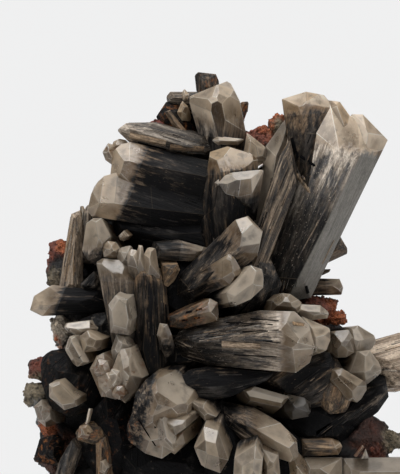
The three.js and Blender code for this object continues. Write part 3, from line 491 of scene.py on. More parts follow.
# Shapes are cut in millimetres. A crystal's ring is its outline seen from the front, y the depth of
# that outline, nose how far its front face stands before it, run the way to its far end. Clear is how
# many millimetres of it are clear, or a line with the clear end on its left.
BLOCK = 400
TINY = 1e-4
BEVEL_WIDTH = 0.18
ALL_CLEAR, NOT_CLEAR, NO_LINE = 50, -50, 90
FAR_OUTSIDE = -200
NOT_SMOOTH = -9
SEAM_BEHIND, WHOLLY_DARK, LATH_CLEARANCE = 1.2, 1.15, 1.5
HOLLOW_AREA, LATH_AREA = 5, 12
LATH_REACH = 3, 13


def place_of(part):
    """Where a corner or a face lies."""
    spot = part.co if isinstance(part, bmesh.types.BMVert) else part.calc_center_median()
    return tuple(round(x, 5) for x in spot)


def put_in_order(parts):
    """Sorts a mesh's corners or faces by where they lie, so that each run has them in the same order."""
    ranks = {part: rank for rank, part in enumerate(sorted(parts, key=place_of))}
    parts.sort(key=lambda part: ranks[part])
    parts.index_update()


def slice_off(solid, point, way):
    everything = solid.verts[:] + solid.edges[:] + solid.faces[:]
    cut = bmesh.ops.bisect_plane(
        solid, geom=everything, dist=TINY, plane_co=point, plane_no=way, clear_outer=True
    )
    rim = [part for part in cut["geom_cut"] if isinstance(part, bmesh.types.BMEdge)]
    if len(rim) > 2:
        bmesh.ops.edgeloop_fill(solid, edges=rim)


def faces_of(c, middle, run):
    """Planes of one crystal: front and far face, then an end facet and a side for each edge of its ring."""
    along = run.normalized()
    look_x, look_z = c.get("look", (0, 0))
    planes = [
        (middle - Vector((0, c["nose"], 0)), Vector((look_x, -1, look_z))),
        (middle + run + along * c.get("rear", 0), along),
    ]
    for i, (x, z) in enumerate(c["ring"]):
        next_x, next_z = c["ring"][(i + 1) % len(c["ring"])]
        edge = Vector((next_x - x, 0, next_z - z))
        out = Vector((edge.z, 0, -edge.x)).normalized()
        corner = Vector((x, c["y"], z))
        if "tilts" in c:
            right, up, left, down = c["tilts"]
            tilt = (right if out.x > 0 else left) * out.x**2 + (up if out.z > 0 else down) * out.z**2
        else:
            tilt = c["tilt"][i % len(c["tilt"])]
        tilt = math.radians(tilt)
        planes.append((corner, out * math.cos(tilt) - Vector((0, math.sin(tilt), 0))))
        planes.append((corner, run.cross(edge)))
        if "tail" in c:
            slope = math.radians(c["tail"])
            planes.append((corner + run, out * math.cos(slope) + Vector((0, math.sin(slope), 0))))
    return planes


def hew(c, luck, middle, run):
    """One crystal cut from a block, with chips knocked off its tip and narrow bevelled edges, which carry
    painted highlights.
    """
    solid = bmesh.new()
    bmesh.ops.create_cube(solid, size=BLOCK, matrix=Matrix.Translation(middle))
    for point, way in faces_of(c, middle, run):
        slice_off(solid, point, way.normalized())
    for point, way in c.get("cuts", ()):
        slice_off(solid, Vector(point), Vector(way).normalized())
    tip = -run.normalized()
    if "tip" in c:
        tip = Vector((c["tip"][0], -0.7, c["tip"][1])).normalized()
    size = min(max(v.co[i] for v in solid.verts) - min(v.co[i] for v in solid.verts) for i in (0, 2))
    for _ in range(c.get("chips", 3)):
        way = (tip + Vector([luck.uniform(-1, 1) for _ in range(3)])).normalized()
        reach = max(v.co.dot(way) for v in solid.verts)
        slice_off(solid, way * (reach - luck.uniform(0.015, 0.06) * size - 0.15), way)
    bmesh.ops.remove_doubles(solid, verts=solid.verts[:], dist=0.3)
    bmesh.ops.dissolve_degenerate(solid, dist=0.02, edges=solid.edges[:])
    edge_highlight_layer = solid.faces.layers.float.new("edge_highlight")
    bevel_faces = bmesh.ops.bevel(
        solid, geom=solid.edges[:], offset=BEVEL_WIDTH, offset_type="OFFSET", affect="EDGES",
        segments=1, profile=0.5, material=-1, clamp_overlap=True,
    )["faces"]
    # Each bevel face gets a random strength of painted highlight.
    for face in bevel_faces:
        face[edge_highlight_layer] = luck.random() ** 2
    return solid


def beyond(line, spot):
    """How far a spot lies to the left of a line seen from the front, mm."""
    (x1, z1), (x2, z2) = line
    step = Vector((x2 - x1, z2 - z1)).normalized()
    return step.x * (spot.z - z1) - step.y * (spot.x - x1)


def clear_marks(c, spot, middle, run):
    """How far inside each bound of the clear end a spot is, and how far onto the smooth side with its
    painted grey sheen, mm.
    """
    marks = []
    for bound in (c.get("clear", ALL_CLEAR), c.get("clear2", NO_LINE)):
        if isinstance(bound, tuple):
            inside = beyond(bound, spot)
        else:
            inside = bound - (spot - middle).dot(run.normalized()) if bound > NOT_CLEAR else FAR_OUTSIDE
        marks.append(max(inside, FAR_OUTSIDE))
    return [*marks, beyond(c["smooth"], spot) if "smooth" in c else NOT_SMOOTH]


def add_lath(solid, start, end, normal, width, height, taper):
    """A splinter that lies half sunk in a crystal's side."""
    along = (end - start).normalized()
    across = normal.cross(along).normalized()
    upward = along.cross(across)
    place = Matrix.Translation((start + end) / 2) @ Matrix((across, upward, along)).transposed().to_4x4()
    made = bmesh.ops.create_cone(
        solid, cap_ends=True, segments=5, radius1=width, radius2=width * taper, depth=(end - start).length,
        matrix=place @ Matrix.Diagonal((1, height / width, 1, 1)),
    )
    return sorted({face for vert in made["verts"] for face in vert.link_faces}, key=place_of)


def scatter_laths(solid, c, luck, length, dark_faces):
    """Splinters along the grain on the dark faces, more on the big ones; gives each one's faces."""
    laths = []
    sizes = [face.calc_area() for face in dark_faces]
    for _ in range(int(c.get("laths", 0.03) * sum(sizes))):
        face = luck.choices(dark_faces, weights=sizes)[0]
        along = length - face.normal * length.dot(face.normal)
        if along.length < 0.5:
            continue
        along.normalize()
        corners = sorted(face.verts, key=place_of)
        weights = [luck.random() ** 2 for _ in corners]
        spot = sum((v.co * w for v, w in zip(corners, weights)), Vector()) / sum(weights)
        lowest, highest = -99.0, 99.0
        for edge in face.loops:
            first, second = edge.vert.co, edge.link_loop_next.vert.co
            inward = face.normal.cross(second - first).normalized()
            speed, room = along.dot(inward), (spot - first).dot(inward)
            if speed > TINY:
                lowest = max(lowest, -room / speed)
            elif speed < -TINY:
                highest = min(highest, -room / speed)
        reach = luck.uniform(*LATH_REACH)
        begin, finish = max(lowest + 0.2, -reach * luck.random()), min(highest - 0.2, reach * luck.random())
        if finish - begin < 2:
            continue
        width = luck.uniform(0.16, 0.2 + 0.045 * (finish - begin))
        laths.append(add_lath(
            solid, spot + along * begin, spot + along * finish, face.normal, min(width, 0.9),
            luck.uniform(0.15, 0.4), luck.uniform(0.2, 1),
        ))
    return laths


def cut_crystal(c, name):
    """One crystal in its own mesh, with the marks that its material reads."""
    luck = random.Random(name)
    ring = c["ring"]
    middle = Vector((sum(x for x, z in ring) / len(ring), c["y"], sum(z for x, z in ring) / len(ring)))
    run = Vector(c["run"])
    solid = hew(c, luck, middle, run)
    lean_x, lean_z = c.get("lean", (0, 0))
    side = -1 if c.get("back") else 1
    place = Matrix((
        (1, 0, 0, 0),
        (side * lean_x, side, side * lean_z, -side * (lean_x * middle.x + lean_z * middle.z)),
        (0, 0, 1, 0),
        (0, 0, 0, 1),
    ))
    bmesh.ops.transform(solid, matrix=place, verts=solid.verts[:])
    if side < 0:
        bmesh.ops.reverse_faces(solid, faces=solid.faces[:])
    middle.y *= side
    run.y *= side
    solid.normal_update()

    length = run.normalized()
    if "grain" in c:
        length = Vector((c["grain"][0], 0, c["grain"][1])).normalized()
    soft = c.get("soft", 2.5)
    for bound in (c.get("clear", ALL_CLEAR), c.get("clear2", NO_LINE)):
        if isinstance(bound, tuple):
            (x1, z1), (x2, z2) = bound
            way = Vector((z1 - z2, 0, x2 - x1)).normalized()
            spot = Vector((x1, 0, z1)) - way * SEAM_BEHIND * soft
        else:
            way = run.normalized()
            spot = middle + way * (bound + SEAM_BEHIND * soft)
        everything = solid.verts[:] + solid.edges[:] + solid.faces[:]
        bmesh.ops.bisect_plane(solid, geom=everything, dist=TINY, plane_co=spot, plane_no=way)
    put_in_order(solid.verts)
    put_in_order(solid.faces)
    facet_tone_and_light_layer = solid.faces.layers.float.new("facet_tone_and_light")
    border_layer = solid.faces.layers.float.new("border")
    look_layer = solid.faces.layers.float_vector.new("look")
    shade_layer = solid.faces.layers.float.new("shade")
    tone, warm, rust, shade = c.get("tone", 0.3), c.get("warm", 0.4), c.get("rust", 0), c.get("shade", 1.0)
    for face in solid.faces:
        face.material_index = bool(c.get("dull")) or all(
            min(clear_marks(c, v.co, middle, run)[:2]) < -WHOLLY_DARK * soft for v in face.verts
        )
        face[border_layer] = soft
        face[look_layer] = Vector((tone, warm, rust))
        face[shade_layer] = shade
        # Facet tone: random, plus painted top light that makes upward faces lighter and downward ones
        # darker.
        face[facet_tone_and_light_layer] = max(-1, min(1, luck.uniform(-0.8, 0.8) + 0.45 * face.normal.z))
    seen = BVHTree.FromBMesh(solid)
    solid.faces.ensure_lookup_table()

    def look_at(x, z):
        return seen.ray_cast(Vector((x, FAR_OUTSIDE * side, z)), Vector((0, side, 0)))

    # Listed facets get their own tone, warmth and shade, set facet by facet: partly their own colour,
    # partly painted light and shade.
    for x, z, facet_tone_and_light, face_warm, face_shade in c.get("facets", ()):
        hit = look_at(x, z)[2]
        if hit is not None:
            face = solid.faces[hit]
            face[facet_tone_and_light_layer] = facet_tone_and_light
            face[look_layer] = Vector((tone, face_warm, rust))
            face[shade_layer] = face_shade

    inner_layer = solid.verts.layers.float.new("inner")
    clear_faces = [face for face in solid.faces if face.material_index == 0]
    clear_faces = [face for face in clear_faces if face.calc_area() > HOLLOW_AREA]
    for v in bmesh.ops.poke(solid, faces=clear_faces, offset=0, center_mode="MEAN")["verts"]:
        v[inner_layer] = luck.uniform(0.5, 1.1)

    across = length.cross(Vector((0, 1, 0.3))).normalized()
    up = length.cross(across)
    grain_layer = solid.verts.layers.float_vector.new("grain")
    clear_layer = solid.verts.layers.float_vector.new("clear")

    def grain_at(spot, shift):
        return Vector((spot.dot(length), spot.dot(across), spot.dot(up))) + shift

    shift = Vector([luck.uniform(-300, 300) for _ in range(3)])
    for v in solid.verts:
        v[grain_layer] = grain_at(v.co, shift)
        v[clear_layer] = Vector(clear_marks(c, v.co, middle, run))

    dark_faces = [
        face for face in solid.faces if face.calc_area() > LATH_AREA
        and all(min(clear_marks(c, v.co, middle, run)[:2]) < -LATH_CLEARANCE * soft for v in face.verts)
        and clear_marks(c, face.calc_center_median(), middle, run)[2] < 0
    ]
    laths = []
    if dark_faces:
        laths = [(lath, None) for lath in scatter_laths(solid, c, luck, length, dark_faces)]
    # Listed ledges; one with a tone below zero is a black strip laid along a cleft, crack or hole, painted
    # shade there.
    for (start, end), width, height, lath_tone, lath_warm in c.get("ledges", ()):
        first, last = look_at(*start), look_at(*end)
        top = look_at((start[0] + end[0]) / 2, (start[1] + end[1]) / 2)[0]
        if first[0] and last[0] and top:
            lift = Vector((0, min(0, side * (top.y - (first[0].y + last[0].y) / 2)) * side, 0))
            normal = (first[1] + last[1]) / 2
            lath = add_lath(solid, first[0] + lift, last[0] + lift, normal, width, height, 0.85)
            laths.append((lath, (lath_tone, lath_warm)))
    for lath, own_look in laths:
        lath_tone = own_look[0] if own_look else tone + luck.uniform(-0.35, 0.2)
        lath_warm = own_look[1] if own_look else warm + luck.uniform(-0.3, 0.4)
        lath_shade = shade * luck.uniform(0.7, 1.15)
        shift = Vector([luck.uniform(-300, 300) for _ in range(3)])
        moved = set()
        for face in lath:
            face.material_index = 1
            face[border_layer] = soft
            face[look_layer] = Vector((lath_tone, max(0, min(1, lath_warm)), rust))
            face[shade_layer] = lath_shade
            face[facet_tone_and_light_layer] = luck.uniform(-0.6, 0.6)
            for v in face.verts:
                if v not in moved:
                    moved.add(v)
                    v[grain_layer] = grain_at(v.co, shift)
                    v[clear_layer] = Vector((FAR_OUTSIDE, FAR_OUTSIDE, NOT_SMOOTH))
    bmesh.ops.scale(solid, vec=(MM, MM, MM), verts=solid.verts[:])
    mesh = bpy.data.meshes.new(name)
    solid.to_mesh(mesh)
    solid.free()
    return mesh


def grow(name, crystals):
    """The crystals of one bunch as one piece, which stands for the bunch's solid."""
    bunch = bmesh.new()
    for i, c in enumerate(crystals):
        bunch.from_mesh(cut_crystal(c, f"{name}_{i}"))
    for v in bunch.verts:
        v.co.z = max(v.co.z, 0)
    mesh = bpy.data.meshes.new(name)
    bunch.to_mesh(mesh)
    bunch.free()
    mesh.materials.append(selenite)
    mesh.materials.append(dark_selenite)
    piece = bpy.data.objects.new(f"{name}_grown", mesh)
    bpy.context.scene.collection.objects.link(piece)
    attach(piece, "root")
    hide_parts(name)


grow("large_blade", [
    dict(
        ring=((27, 122), (31, 108), (50.5, 111), (86, 184), (74, 200), (60, 208), (41, 204)), y=4,
        nose=15, tilts=(31, 60, 62, 40), run=(0, 12, 0), tail=45, rear=9, lean=(0, -0.05),
        grain=(0.41, 0.91), clear=((58, 188), (86, 183)), smooth=((76, 184), (40, 113)), tone=0.64,
        warm=0.3, laths=0.045, shade=1.9, ledges=((((49, 113.5), (48, 117)), 0.9, 0.5, -0.9, 0),
        (((64, 167), (44, 131)), 0.4, 0.5, 0.6, 0.6), (((56, 128), (62, 140)), 0.5, 0.5, 0.9, 0.5)),
    ),
    dict(
        ring=((46, 140), (58, 150), (64, 192), (60, 209), (57, 212.5), (48, 214.2), (36, 210.5)), y=2,
        nose=13.5, tilts=(58, 34, 40, 60), run=(0, 14, 0), tail=45, rear=8, lean=(0, -0.05),
        grain=(0.41, 0.91), clear=((38, 204), (58, 206)), soft=2, tone=0.44, warm=0.8, shade=1.15,
        chips=5, facets=((50, 210, 0.8, 0.1, 1.85), (42, 208, 0.2, 0.4, 1.5), (56, 209, 0.6, 0.1, 1.8)),
        # The first two ledges, black, stand for a dark cleft: painted shade.
        ledges=((((41, 191), (44, 181)), 1.1, 0.8, -0.9, 0), (((45, 182), (54, 176)), 0.8, 0.5, -0.9, 0),
        (((43, 173), (53, 160)), 1.1, 0.8, 0.95, 0.8), (((46, 172), (55, 161)), 0.6, 0.5, 0.7, 0.8)),
    ),
    dict(
        ring=((52, 160), (58, 146), (72, 176), (73, 198), (65, 209.2), (59, 210)), y=3, nose=14.5,
        tilts=(50, 38, 62, 62), run=(0, 12, 0), tail=45, rear=8, lean=(0, -0.05), grain=(0.41, 0.91),
        clear=((57, 206), (68, 193)), tone=0.5, warm=0.75, shade=1.15, chips=4,
        facets=((64, 204, 0.6, 0.1, 1.8), (61, 200, 0.9, 0, 1.5), (66, 199, 0.2, 0.2, 1.4)),
    ),
    dict(
        ring=((58, 140), (65.5, 142), (89, 190), (76.5, 203), (71, 203), (64, 184)), y=4, nose=14,
        tilts=(42, 38, 66, 60), run=(0, 10, 0), tail=45, rear=8, lean=(0, -0.05), grain=(0.41, 0.91),
        clear=((60, 190), (66, 178)), clear2=((66, 178), (86, 183)), smooth=((76, 184), (40, 113)),
        tone=0.5, warm=0.45, shade=1.2, chips=4, facets=((76, 194, 0.8, 0.1, 1.6),
        (83, 190, 0.4, 0.2, 1.5), (72, 197, 0.5, 0.1, 1.5)),
    ),
    dict(
        ring=((16, 124), (18, 112), (27, 124), (43, 166), (43.5, 176), (40, 190), (35, 182)), y=-7,
        nose=9, tilts=(52, 40, 46, 40), run=(0, 14, 0), lean=(0, -0.03), grain=(0.38, 0.925),
        clear=NOT_CLEAR, tone=0.62, warm=0.6, ledges=((((44, 170), (28.5, 138)), 0.9, 0.5, 0.95, 0.9),),
    ),
])

# Upper left fan. Broad dark plates that fan out to the left, with milky clear ends and a few rough
# bits of clay at their tips. Grown side by side from the matrix.
grow("upper_left_fan", [
    dict(
        ring=((-61.5, 155), (-60, 152), (-30, 147), (6, 146), (6, 162), (-30, 172), (-46, 174),
        (-53, 172), (-59.5, 166)), y=-2, nose=9, tilts=(50, 66, 42, 50), run=(4, 12, 0),
        lean=(0.05, 0.05), grain=(0.94, -0.34), tip=(-1, 0.1), clear=((-45, 155), (-35, 176)), soft=1.4,
        tone=0.2, warm=0.6, laths=0.012, shade=0.9, chips=5,
    ),
    dict(
        ring=((-51, 173), (-50, 166), (-30, 158), (6, 154), (6, 178), (-40, 189), (-48, 187)), y=0,
        nose=10, tilts=(50, 50, 40, 68), run=(4, 12, 0), lean=(0.05, 0.05), grain=(0.94, -0.34),
        tip=(-1, 0.3), clear=((-40, 170), (-31, 190)), soft=1.6, warm=0.7, laths=0.02, shade=1.02,
        chips=5,
    ),
    dict(
        ring=((-50, 150), (-47, 142), (-14, 130), (4, 126), (6, 140), (0, 156), (-44, 154)), y=3, nose=7,
        tilts=(50, 60, 40, 44), run=(2, 10, 0), grain=(0.95, -0.25), tip=(-1, 0), clear=NOT_CLEAR,
        tone=0.12, warm=0.6,
    ),
    dict(
        ring=((-54, 184), (-52.5, 180), (-49, 177.5), (-46, 181), (-49, 187), (-51.5, 188.8)), y=2,
        nose=3, tilt=(42,), run=(6, 8, -2), warm=0.5, rust=0.35, shade=0.95,
    ),
    dict(
        ring=((-50, 185), (-40, 186), (-42.5, 190.5), (-45.5, 191), (-48.5, 189.5)), y=6, nose=3,
        tilt=(42,), run=(4, 6, -4), warm=0.6, rust=0.3,
    ),
])

# Wedge blade. A silvery, striated blade that points left over the fan, cut by a pale end strip.
# Selenite, grown from the matrix.
grow("wedge_blade", [
    dict(
        ring=((-47, 195), (-40, 188.5), (-20, 181.5), (0, 181), (2, 186), (-2, 192), (-28, 198.8),
        (-42, 198.5)), y=6, nose=9, tilt=(50, 44, 36, 40), run=(4, 10, 0), tail=45, rear=5,
        lean=(0.08, 0), grain=(0.97, -0.22), tip=(-1, 0.1), clear=((-41, 187), (-47, 197)), soft=1,
        tone=0.72, warm=0.35, laths=0.05, ledges=((((-40, 192.6), (-22, 188.4)), 2.3, 1.6, 0.85, 0.8),
        (((-46.5, 194.5), (-37.5, 187.6)), 0.9, 0.5, 1.4, 0.2),
        (((-36, 188.9), (-22, 185.2)), 0.6, 0.5, -0.9, 0),
        (((-20, 186.5), (-3, 185.5)), 1.6, 0.8, 0.8, 0.9)),
    ),
])

# Top tower. The tower at the top: a clear, many-sided head on a streaked brown stem, with a slim
# crystal across its foot. Selenite, grown from the matrix.
grow("top_tower", [
    dict(
        ring=((-10.3, 209), (0, 172), (15, 172), (18, 194), (15, 209.5), (10.5, 218.5), (8, 220),
        (4, 219.5), (-10, 212)), y=10, nose=10, tilt=(42, 34, 48), run=(0, 8, 0), tail=45, rear=6,
        lean=(0, -0.05), grain=(0.05, 1), tip=(0, 1), clear=((-10, 200), (18, 194)), soft=5, tone=0.45,
        warm=0.5, chips=6, shade=1.08, facets=((6, 210, -0.2, 0.7, 0.85), (9, 206, 0.1, 0.8, 0.9),
        (-3, 204, 0.8, 0.3, 1.05), (7, 197, -1.2, 0.8, 0.45)),
    ),
    dict(
        ring=((1, 190), (4, 187.5), (14, 188), (17, 190.5), (4, 192)), y=1, nose=2.5, tilt=(42,),
        run=(0, 12, -1), grain=(1, 0), warm=0.5, shade=0.9,
    ),
])

# Second tower. The stout tower below it: a clear grey cap, a tan zone, then a black stem, and a
# smaller grey head grown on its front. Selenite, grown from the matrix.
grow("second_tower", [
    dict(
        ring=((-5, 150), (-3, 130), (20, 134), (24, 168), (24, 180), (21, 183), (8, 187), (0, 184)), y=-4,
        nose=10, tilt=(40, 34, 46), run=(0, 10, 0), lean=(0, -0.08), grain=(-0.06, 1), tip=(0, 1),
        clear=((-5, 176), (28, 176)), soft=3, warm=0.9, chips=5,
    ),
    dict(
        ring=((2, 170), (8, 163), (14, 161.5), (21, 163), (27, 175), (22.5, 176), (12, 175)), y=-14,
        nose=5, tilt=(42, 34, 50), run=(-4, 14, -26), clear=7, soft=3, warm=0.3, shade=0.9,
        facets=((8, 168, 0.9, 0.1, 1.1), (24, 172, 1.2, 0.1, 1.3), (19, 164, -0.2, 0.9, 0.8)),
    ),
])

# Small crystals at the top. Rods, beads and buds at the upper left, a brown nub behind the tower,
# and slim grey blades beside the large one. Selenite, grown from the matrix.
grow("top_rods", [
    dict(
        ring=((-22.5, 211.5), (-22, 209.5), (-17, 207.5), (-4, 206), (-2, 210), (-6, 214.5),
        (-20, 214.5)), y=15, nose=4, tilt=(44, 36), run=(4, 10, -6), grain=(1, 0.05), tip=(-1, 0),
        clear=NOT_CLEAR, tone=0.8, rust=0.1, laths=0.1,
    ),
    dict(
        ring=((-14.5, 214), (-13.5, 210), (-11, 210.5), (-10.5, 213), (-13, 216)), y=11, nose=2,
        tilt=(42,), run=(2, 8, -2), warm=0.7, shade=1.1,
    ),
    dict(
        ring=((-27, 202), (-24, 192), (-12, 188), (-8, 196), (-16, 209), (-22, 209.5)), y=15, nose=4,
        tilt=(44, 36), run=(3, 8, -3), clear=NOT_CLEAR, tone=0.2, warm=0.6, rust=0.3,
    ),
    dict(
        ring=((-16.5, 204), (-14.5, 201), (-12, 203), (-11, 207), (-14, 210)), y=9, nose=2.5, tilt=(40,),
        run=(2, 8, -5), warm=0.9,
    ),
    dict(
        ring=((-23, 204.5), (-17, 194), (-14, 192), (-12, 195), (-20.5, 205.5)), y=9.5, nose=2,
        tilt=(42,), run=(1, 5, -1), grain=(0.65, -0.75), clear=NOT_CLEAR, tone=0.7, warm=0.8,
    ),
])
grow("back_nub", [
    dict(
        ring=((-7.5, 223), (-3, 185), (7, 185), (4.5, 220), (3, 223.5), (-6, 224.5)), y=26, nose=5,
        tilt=(40, 50), run=(0, 6, 0), grain=(0.1, 1), clear=NOT_CLEAR, tone=0.45, warm=0.8, rust=0.2,
    ),
])
grow("rusty_splinter", [
    dict(
        ring=((2, 184), (12, 186), (20, 208), (19, 209.7), (16, 209.5)), y=25, nose=3, tilt=(40,),
        run=(0, 5, 0), grain=(0.1, 1), clear=NOT_CLEAR, tone=0.6, warm=0.9, rust=0.4,
    ),
])
grow("grey_blade", [
    dict(
        ring=((20, 138), (32, 138), (41, 185), (40, 203.5), (28, 187)), y=8, nose=7, tilt=(40, 46),
        run=(0, 8, 0), grain=(0.34, 0.94), tip=(0.3, 1), warm=0.1, shade=0.95,
    ),
    dict(
        ring=((16, 180), (20, 176), (28, 181), (28.5, 186), (18.5, 194)), y=4, nose=3, tilt=(42,),
        run=(0, 8, -2), grain=(0.77, -0.63), warm=0.5, shade=1.1,
    ),
])

# Left column. Striated light column at the left, with the mitre-shaped crystal, the round knob, a
# small dark crystal and the finger that points left. Selenite, grown from the matrix.
grow("left_column", [
    dict(
        ring=((-76, 112), (-63.5, 112), (-64, 150), (-65, 155), (-69.5, 153)), y=4, nose=7,
        tilt=(40, 34, 46), run=(0, 8, 0), lean=(0, 0.05), grain=(0.14, 0.99), tip=(0, 1), clear=NOT_CLEAR,
        tone=0.95, warm=0.6, laths=0.12, shade=1.1,
    ),
    dict(
        ring=((-66, 146), (-62, 148), (-62.5, 155), (-63.5, 157.5), (-65, 157.3)), y=8, nose=2.5,
        tilt=(40,), run=(0, 6, -10), warm=0.9, shade=0.8,
    ),
    dict(
        ring=((-65, 130), (-58, 130), (-58, 156), (-61.5, 158), (-64.5, 152)), y=7, nose=5, tilt=(40,),
        run=(2, 10, -4), grain=(0.05, 1), clear=NOT_CLEAR, tone=0.7, warm=0.5, laths=0.05,
    ),
])
grow("mitre_crystal", [
    dict(
        ring=((-64, 135), (-61, 130), (-54, 131), (-50, 137), (-49.5, 142), (-54, 151), (-60, 151),
        (-62, 148)), y=-8, nose=6, tilt=(38, 48, 32), run=(8, 26, -6), look=(0, 0.15), grain=(0.05, 1),
        clear=((-65, 135.5), (-48, 136.5)), tone=0.4, shade=0.85,
    ),
    dict(
        ring=((-54, 137), (-53, 131.5), (-48, 131), (-45.5, 132.5), (-45, 136), (-47, 139), (-51, 139.5)),
        y=-11, nose=3.5, tilt=(42, 34), run=(6, 24, -3), clear=8, soft=3, warm=0.75, shade=0.9,
    ),
])
grow("knob_crystal", [
    dict(
        ring=((-45.7, 142), (-45, 140), (-43, 139.3), (-40.3, 142), (-43, 144.8)), y=-9, nose=1.5,
        tilt=(55,), run=(6, 26, 2), clear=6, warm=0.9, shade=0.85,
    ),
])
grow("dark_left_crystal", [
    dict(
        ring=((-65, 118), (-64, 115), (-54, 114), (-54, 122), (-58, 124.5)), y=-4, nose=4, tilt=(42, 34),
        run=(4, 18, 0), grain=(0.6, 0.8), clear=NOT_CLEAR, tone=0.42,
    ),
])
grow("left_finger", [
    dict(
        ring=((-90, 105), (-84, 102), (-57, 103), (-50, 108), (-55, 115), (-79, 117.5), (-88, 112)), y=-4,
        nose=8, tilt=(44, 36, 50), run=(0, 8, 0), tail=45, rear=6, lean=(-0.08, 0), grain=(1, 0.02),
        tip=(-1, 0), clear=((-80.5, 101), (-74, 118)), soft=2, tone=0.1, warm=0.5, chips=4,
    ),
])

# Left tower. Pair of fibrous dark columns with a broad pale top and a crown of small clear heads.
# Selenite, grown from the matrix.
grow("left_tower", [
    dict(
        ring=((-57, 130), (-46, 74), (-38, 80), (-34, 100), (-35, 118), (-40, 127), (-44, 130),
        (-56, 131)), y=-12, nose=6, tilt=(48, 40, 34), run=(4, 16, 0), grain=(-0.02, 1), tip=(0, 1),
        clear=((-60, 123), (-36, 121)), tone=0.66, warm=0.5, laths=0.05, shade=0.7,
        facets=((-50, 127, 0.1, 0.3, 0.75),),
    ),
    dict(
        ring=((-40, 85), (-36, 68), (-23, 68), (-19.5, 82), (-22, 118), (-26, 126), (-37, 126)), y=-14,
        nose=6, tilt=(48, 40, 34), run=(2, 16, 0), grain=(-0.03, 1), tip=(0, 1),
        clear=((-40, 124), (-18, 126)), soft=2, tone=0.36, warm=0.9, laths=0.05,
    ),
    dict(
        ring=((-41.5, 133), (-41, 127.5), (-36, 126), (-36.5, 135.5), (-39.5, 135.5)), y=-18, nose=3,
        tilt=(36, 48), run=(3, 12, -26), clear=9, soft=3, warm=0.2, shade=1.05,
    ),
    dict(
        ring=((-37.5, 130), (-36, 124), (-32, 124), (-33.5, 137.5), (-35.5, 138.3)), y=-16, nose=4,
        tilt=(36, 48), run=(3, 12, -26), clear=9, soft=3, warm=0.3,
    ),
    dict(
        ring=((-33, 124), (-30, 118), (-25, 122), (-27, 136), (-31, 136.5), (-33, 133)), y=-17, nose=4,
        tilt=(42, 36), run=(3, 14, -30), clear=9, soft=3, shade=0.95,
    ),
    dict(
        ring=((-46.5, 134), (-46, 127), (-40, 124), (-37, 130), (-39, 137.5), (-44, 137)), y=-11, nose=4,
        tilt=(42, 36), run=(4, 14, -20), clear=6, soft=3, warm=0.2, shade=0.8,
    ),
])

# Lozenges, slab and box. Blocky clear crystals in front of the left tower and at its foot.
# Selenite, grown from the matrix.
grow("pale_lozenge", [
    dict(
        ring=((-50.5, 108), (-49.5, 94), (-40, 92.5), (-39, 100), (-41, 110.5), (-47, 112.5)), y=-26,
        nose=2.4, tilt=(30, 52, 40, 35), run=(6, 22, 5), look=(0.1, 0.05), grain=(0.02, 1),
        clear=((-51, 94.5), (-38, 93.5)), warm=0.15, shade=0.85, chips=1,
        facets=((-45, 103, 0.3, 0.2, 0.85),),
    ),
])
grow("small_lozenge", [
    dict(
        ring=((-26.5, 93), (-24, 88.5), (-19.5, 89), (-19, 93), (-21.5, 99), (-25, 99)), y=-27, nose=1.8,
        tilt=(35, 50), run=(3, 16, -12), grain=(0.05, 1), clear=((-28, 90.5), (-18, 90)), soft=2,
        warm=0.45, shade=0.72, chips=2,
    ),
])
grow("slab_crystal", [
    dict(
        ring=((-73, 97), (-72, 94), (-66, 91.5), (-57, 93), (-56, 96), (-60, 100), (-72, 98.5)), y=-13,
        nose=3, tilt=(40, 50), run=(10, 22, 2), clear=12, soft=3, shade=0.9, chips=4,
        facets=((-69, 97, 1.2, 0, 1.2),),
    ),
    dict(
        ring=((-70, 98), (-62, 88), (-54, 84), (-49, 88), (-50, 104), (-57, 103.5)), y=-8, nose=4,
        tilt=(40, 50), run=(6, 18, 0), clear=NOT_CLEAR, tone=0.35, warm=0.2,
    ),
])
grow("box_crystal", [
    dict(
        ring=((-63, 84), (-55, 85), (-53.5, 90.5), (-61, 95), (-65, 92)), y=-20, nose=3.2, tilt=(34, 48),
        run=(9, 26, 3), look=(0.15, 0.1), clear=12, soft=3, warm=0.6, chips=2, shade=0.9,
    ),
])
grow("leaning_lozenge", [
    dict(
        ring=((-72.5, 86), (-68, 78), (-66, 77), (-60.5, 78.5), (-60, 80), (-67, 92), (-70, 92)), y=-20,
        nose=2.5, tilt=(36, 50, 30), run=(10, 24, 4), clear=12, soft=3, warm=0.35, chips=2, shade=0.9,
    ),
])

# Lance and prism. The lance that points up to the right with a broad clear head and a second, tan
# one, and the clean prism below it. Selenite, grown from the matrix.
grow("centre_lance", [
    dict(
        ring=((-18, 112), (-8, 107), (25.5, 133.5), (27.5, 143), (19, 152), (12.5, 150), (-16, 122)),
        y=-18, nose=10, tilt=(42, 36, 48), run=(0, 10, 0), lean=(-0.32, -0.12), grain=(0.77, 0.64),
        tip=(0.7, 0.5), clear=((7, 148), (20, 128)), soft=2, tone=0.42, warm=0.6, chips=5, shade=0.85,
        facets=((14, 138, -0.6, 0.9, 0.75), (24, 143, 1, 0.1, 0.85)),
    ),
    dict(
        ring=((6, 121), (10, 118), (16, 123), (13, 132.5), (9, 133), (6, 130)), y=-29, nose=3.5,
        tilt=(40, 30, 50), run=(-20, 14, -12), clear=8, soft=3, warm=0.8, tone=0.45, shade=0.7, chips=4,
    ),
    dict(
        ring=((2, 118), (12, 102), (30, 104), (36, 118), (28, 136), (14, 134)), y=-4, nose=8,
        tilts=(44, 50, 40, 46), run=(-2, 22, 0), grain=(0.41, 0.91), clear=NOT_CLEAR, tone=0.4, warm=0.5,
        laths=0.05,
    ),
])
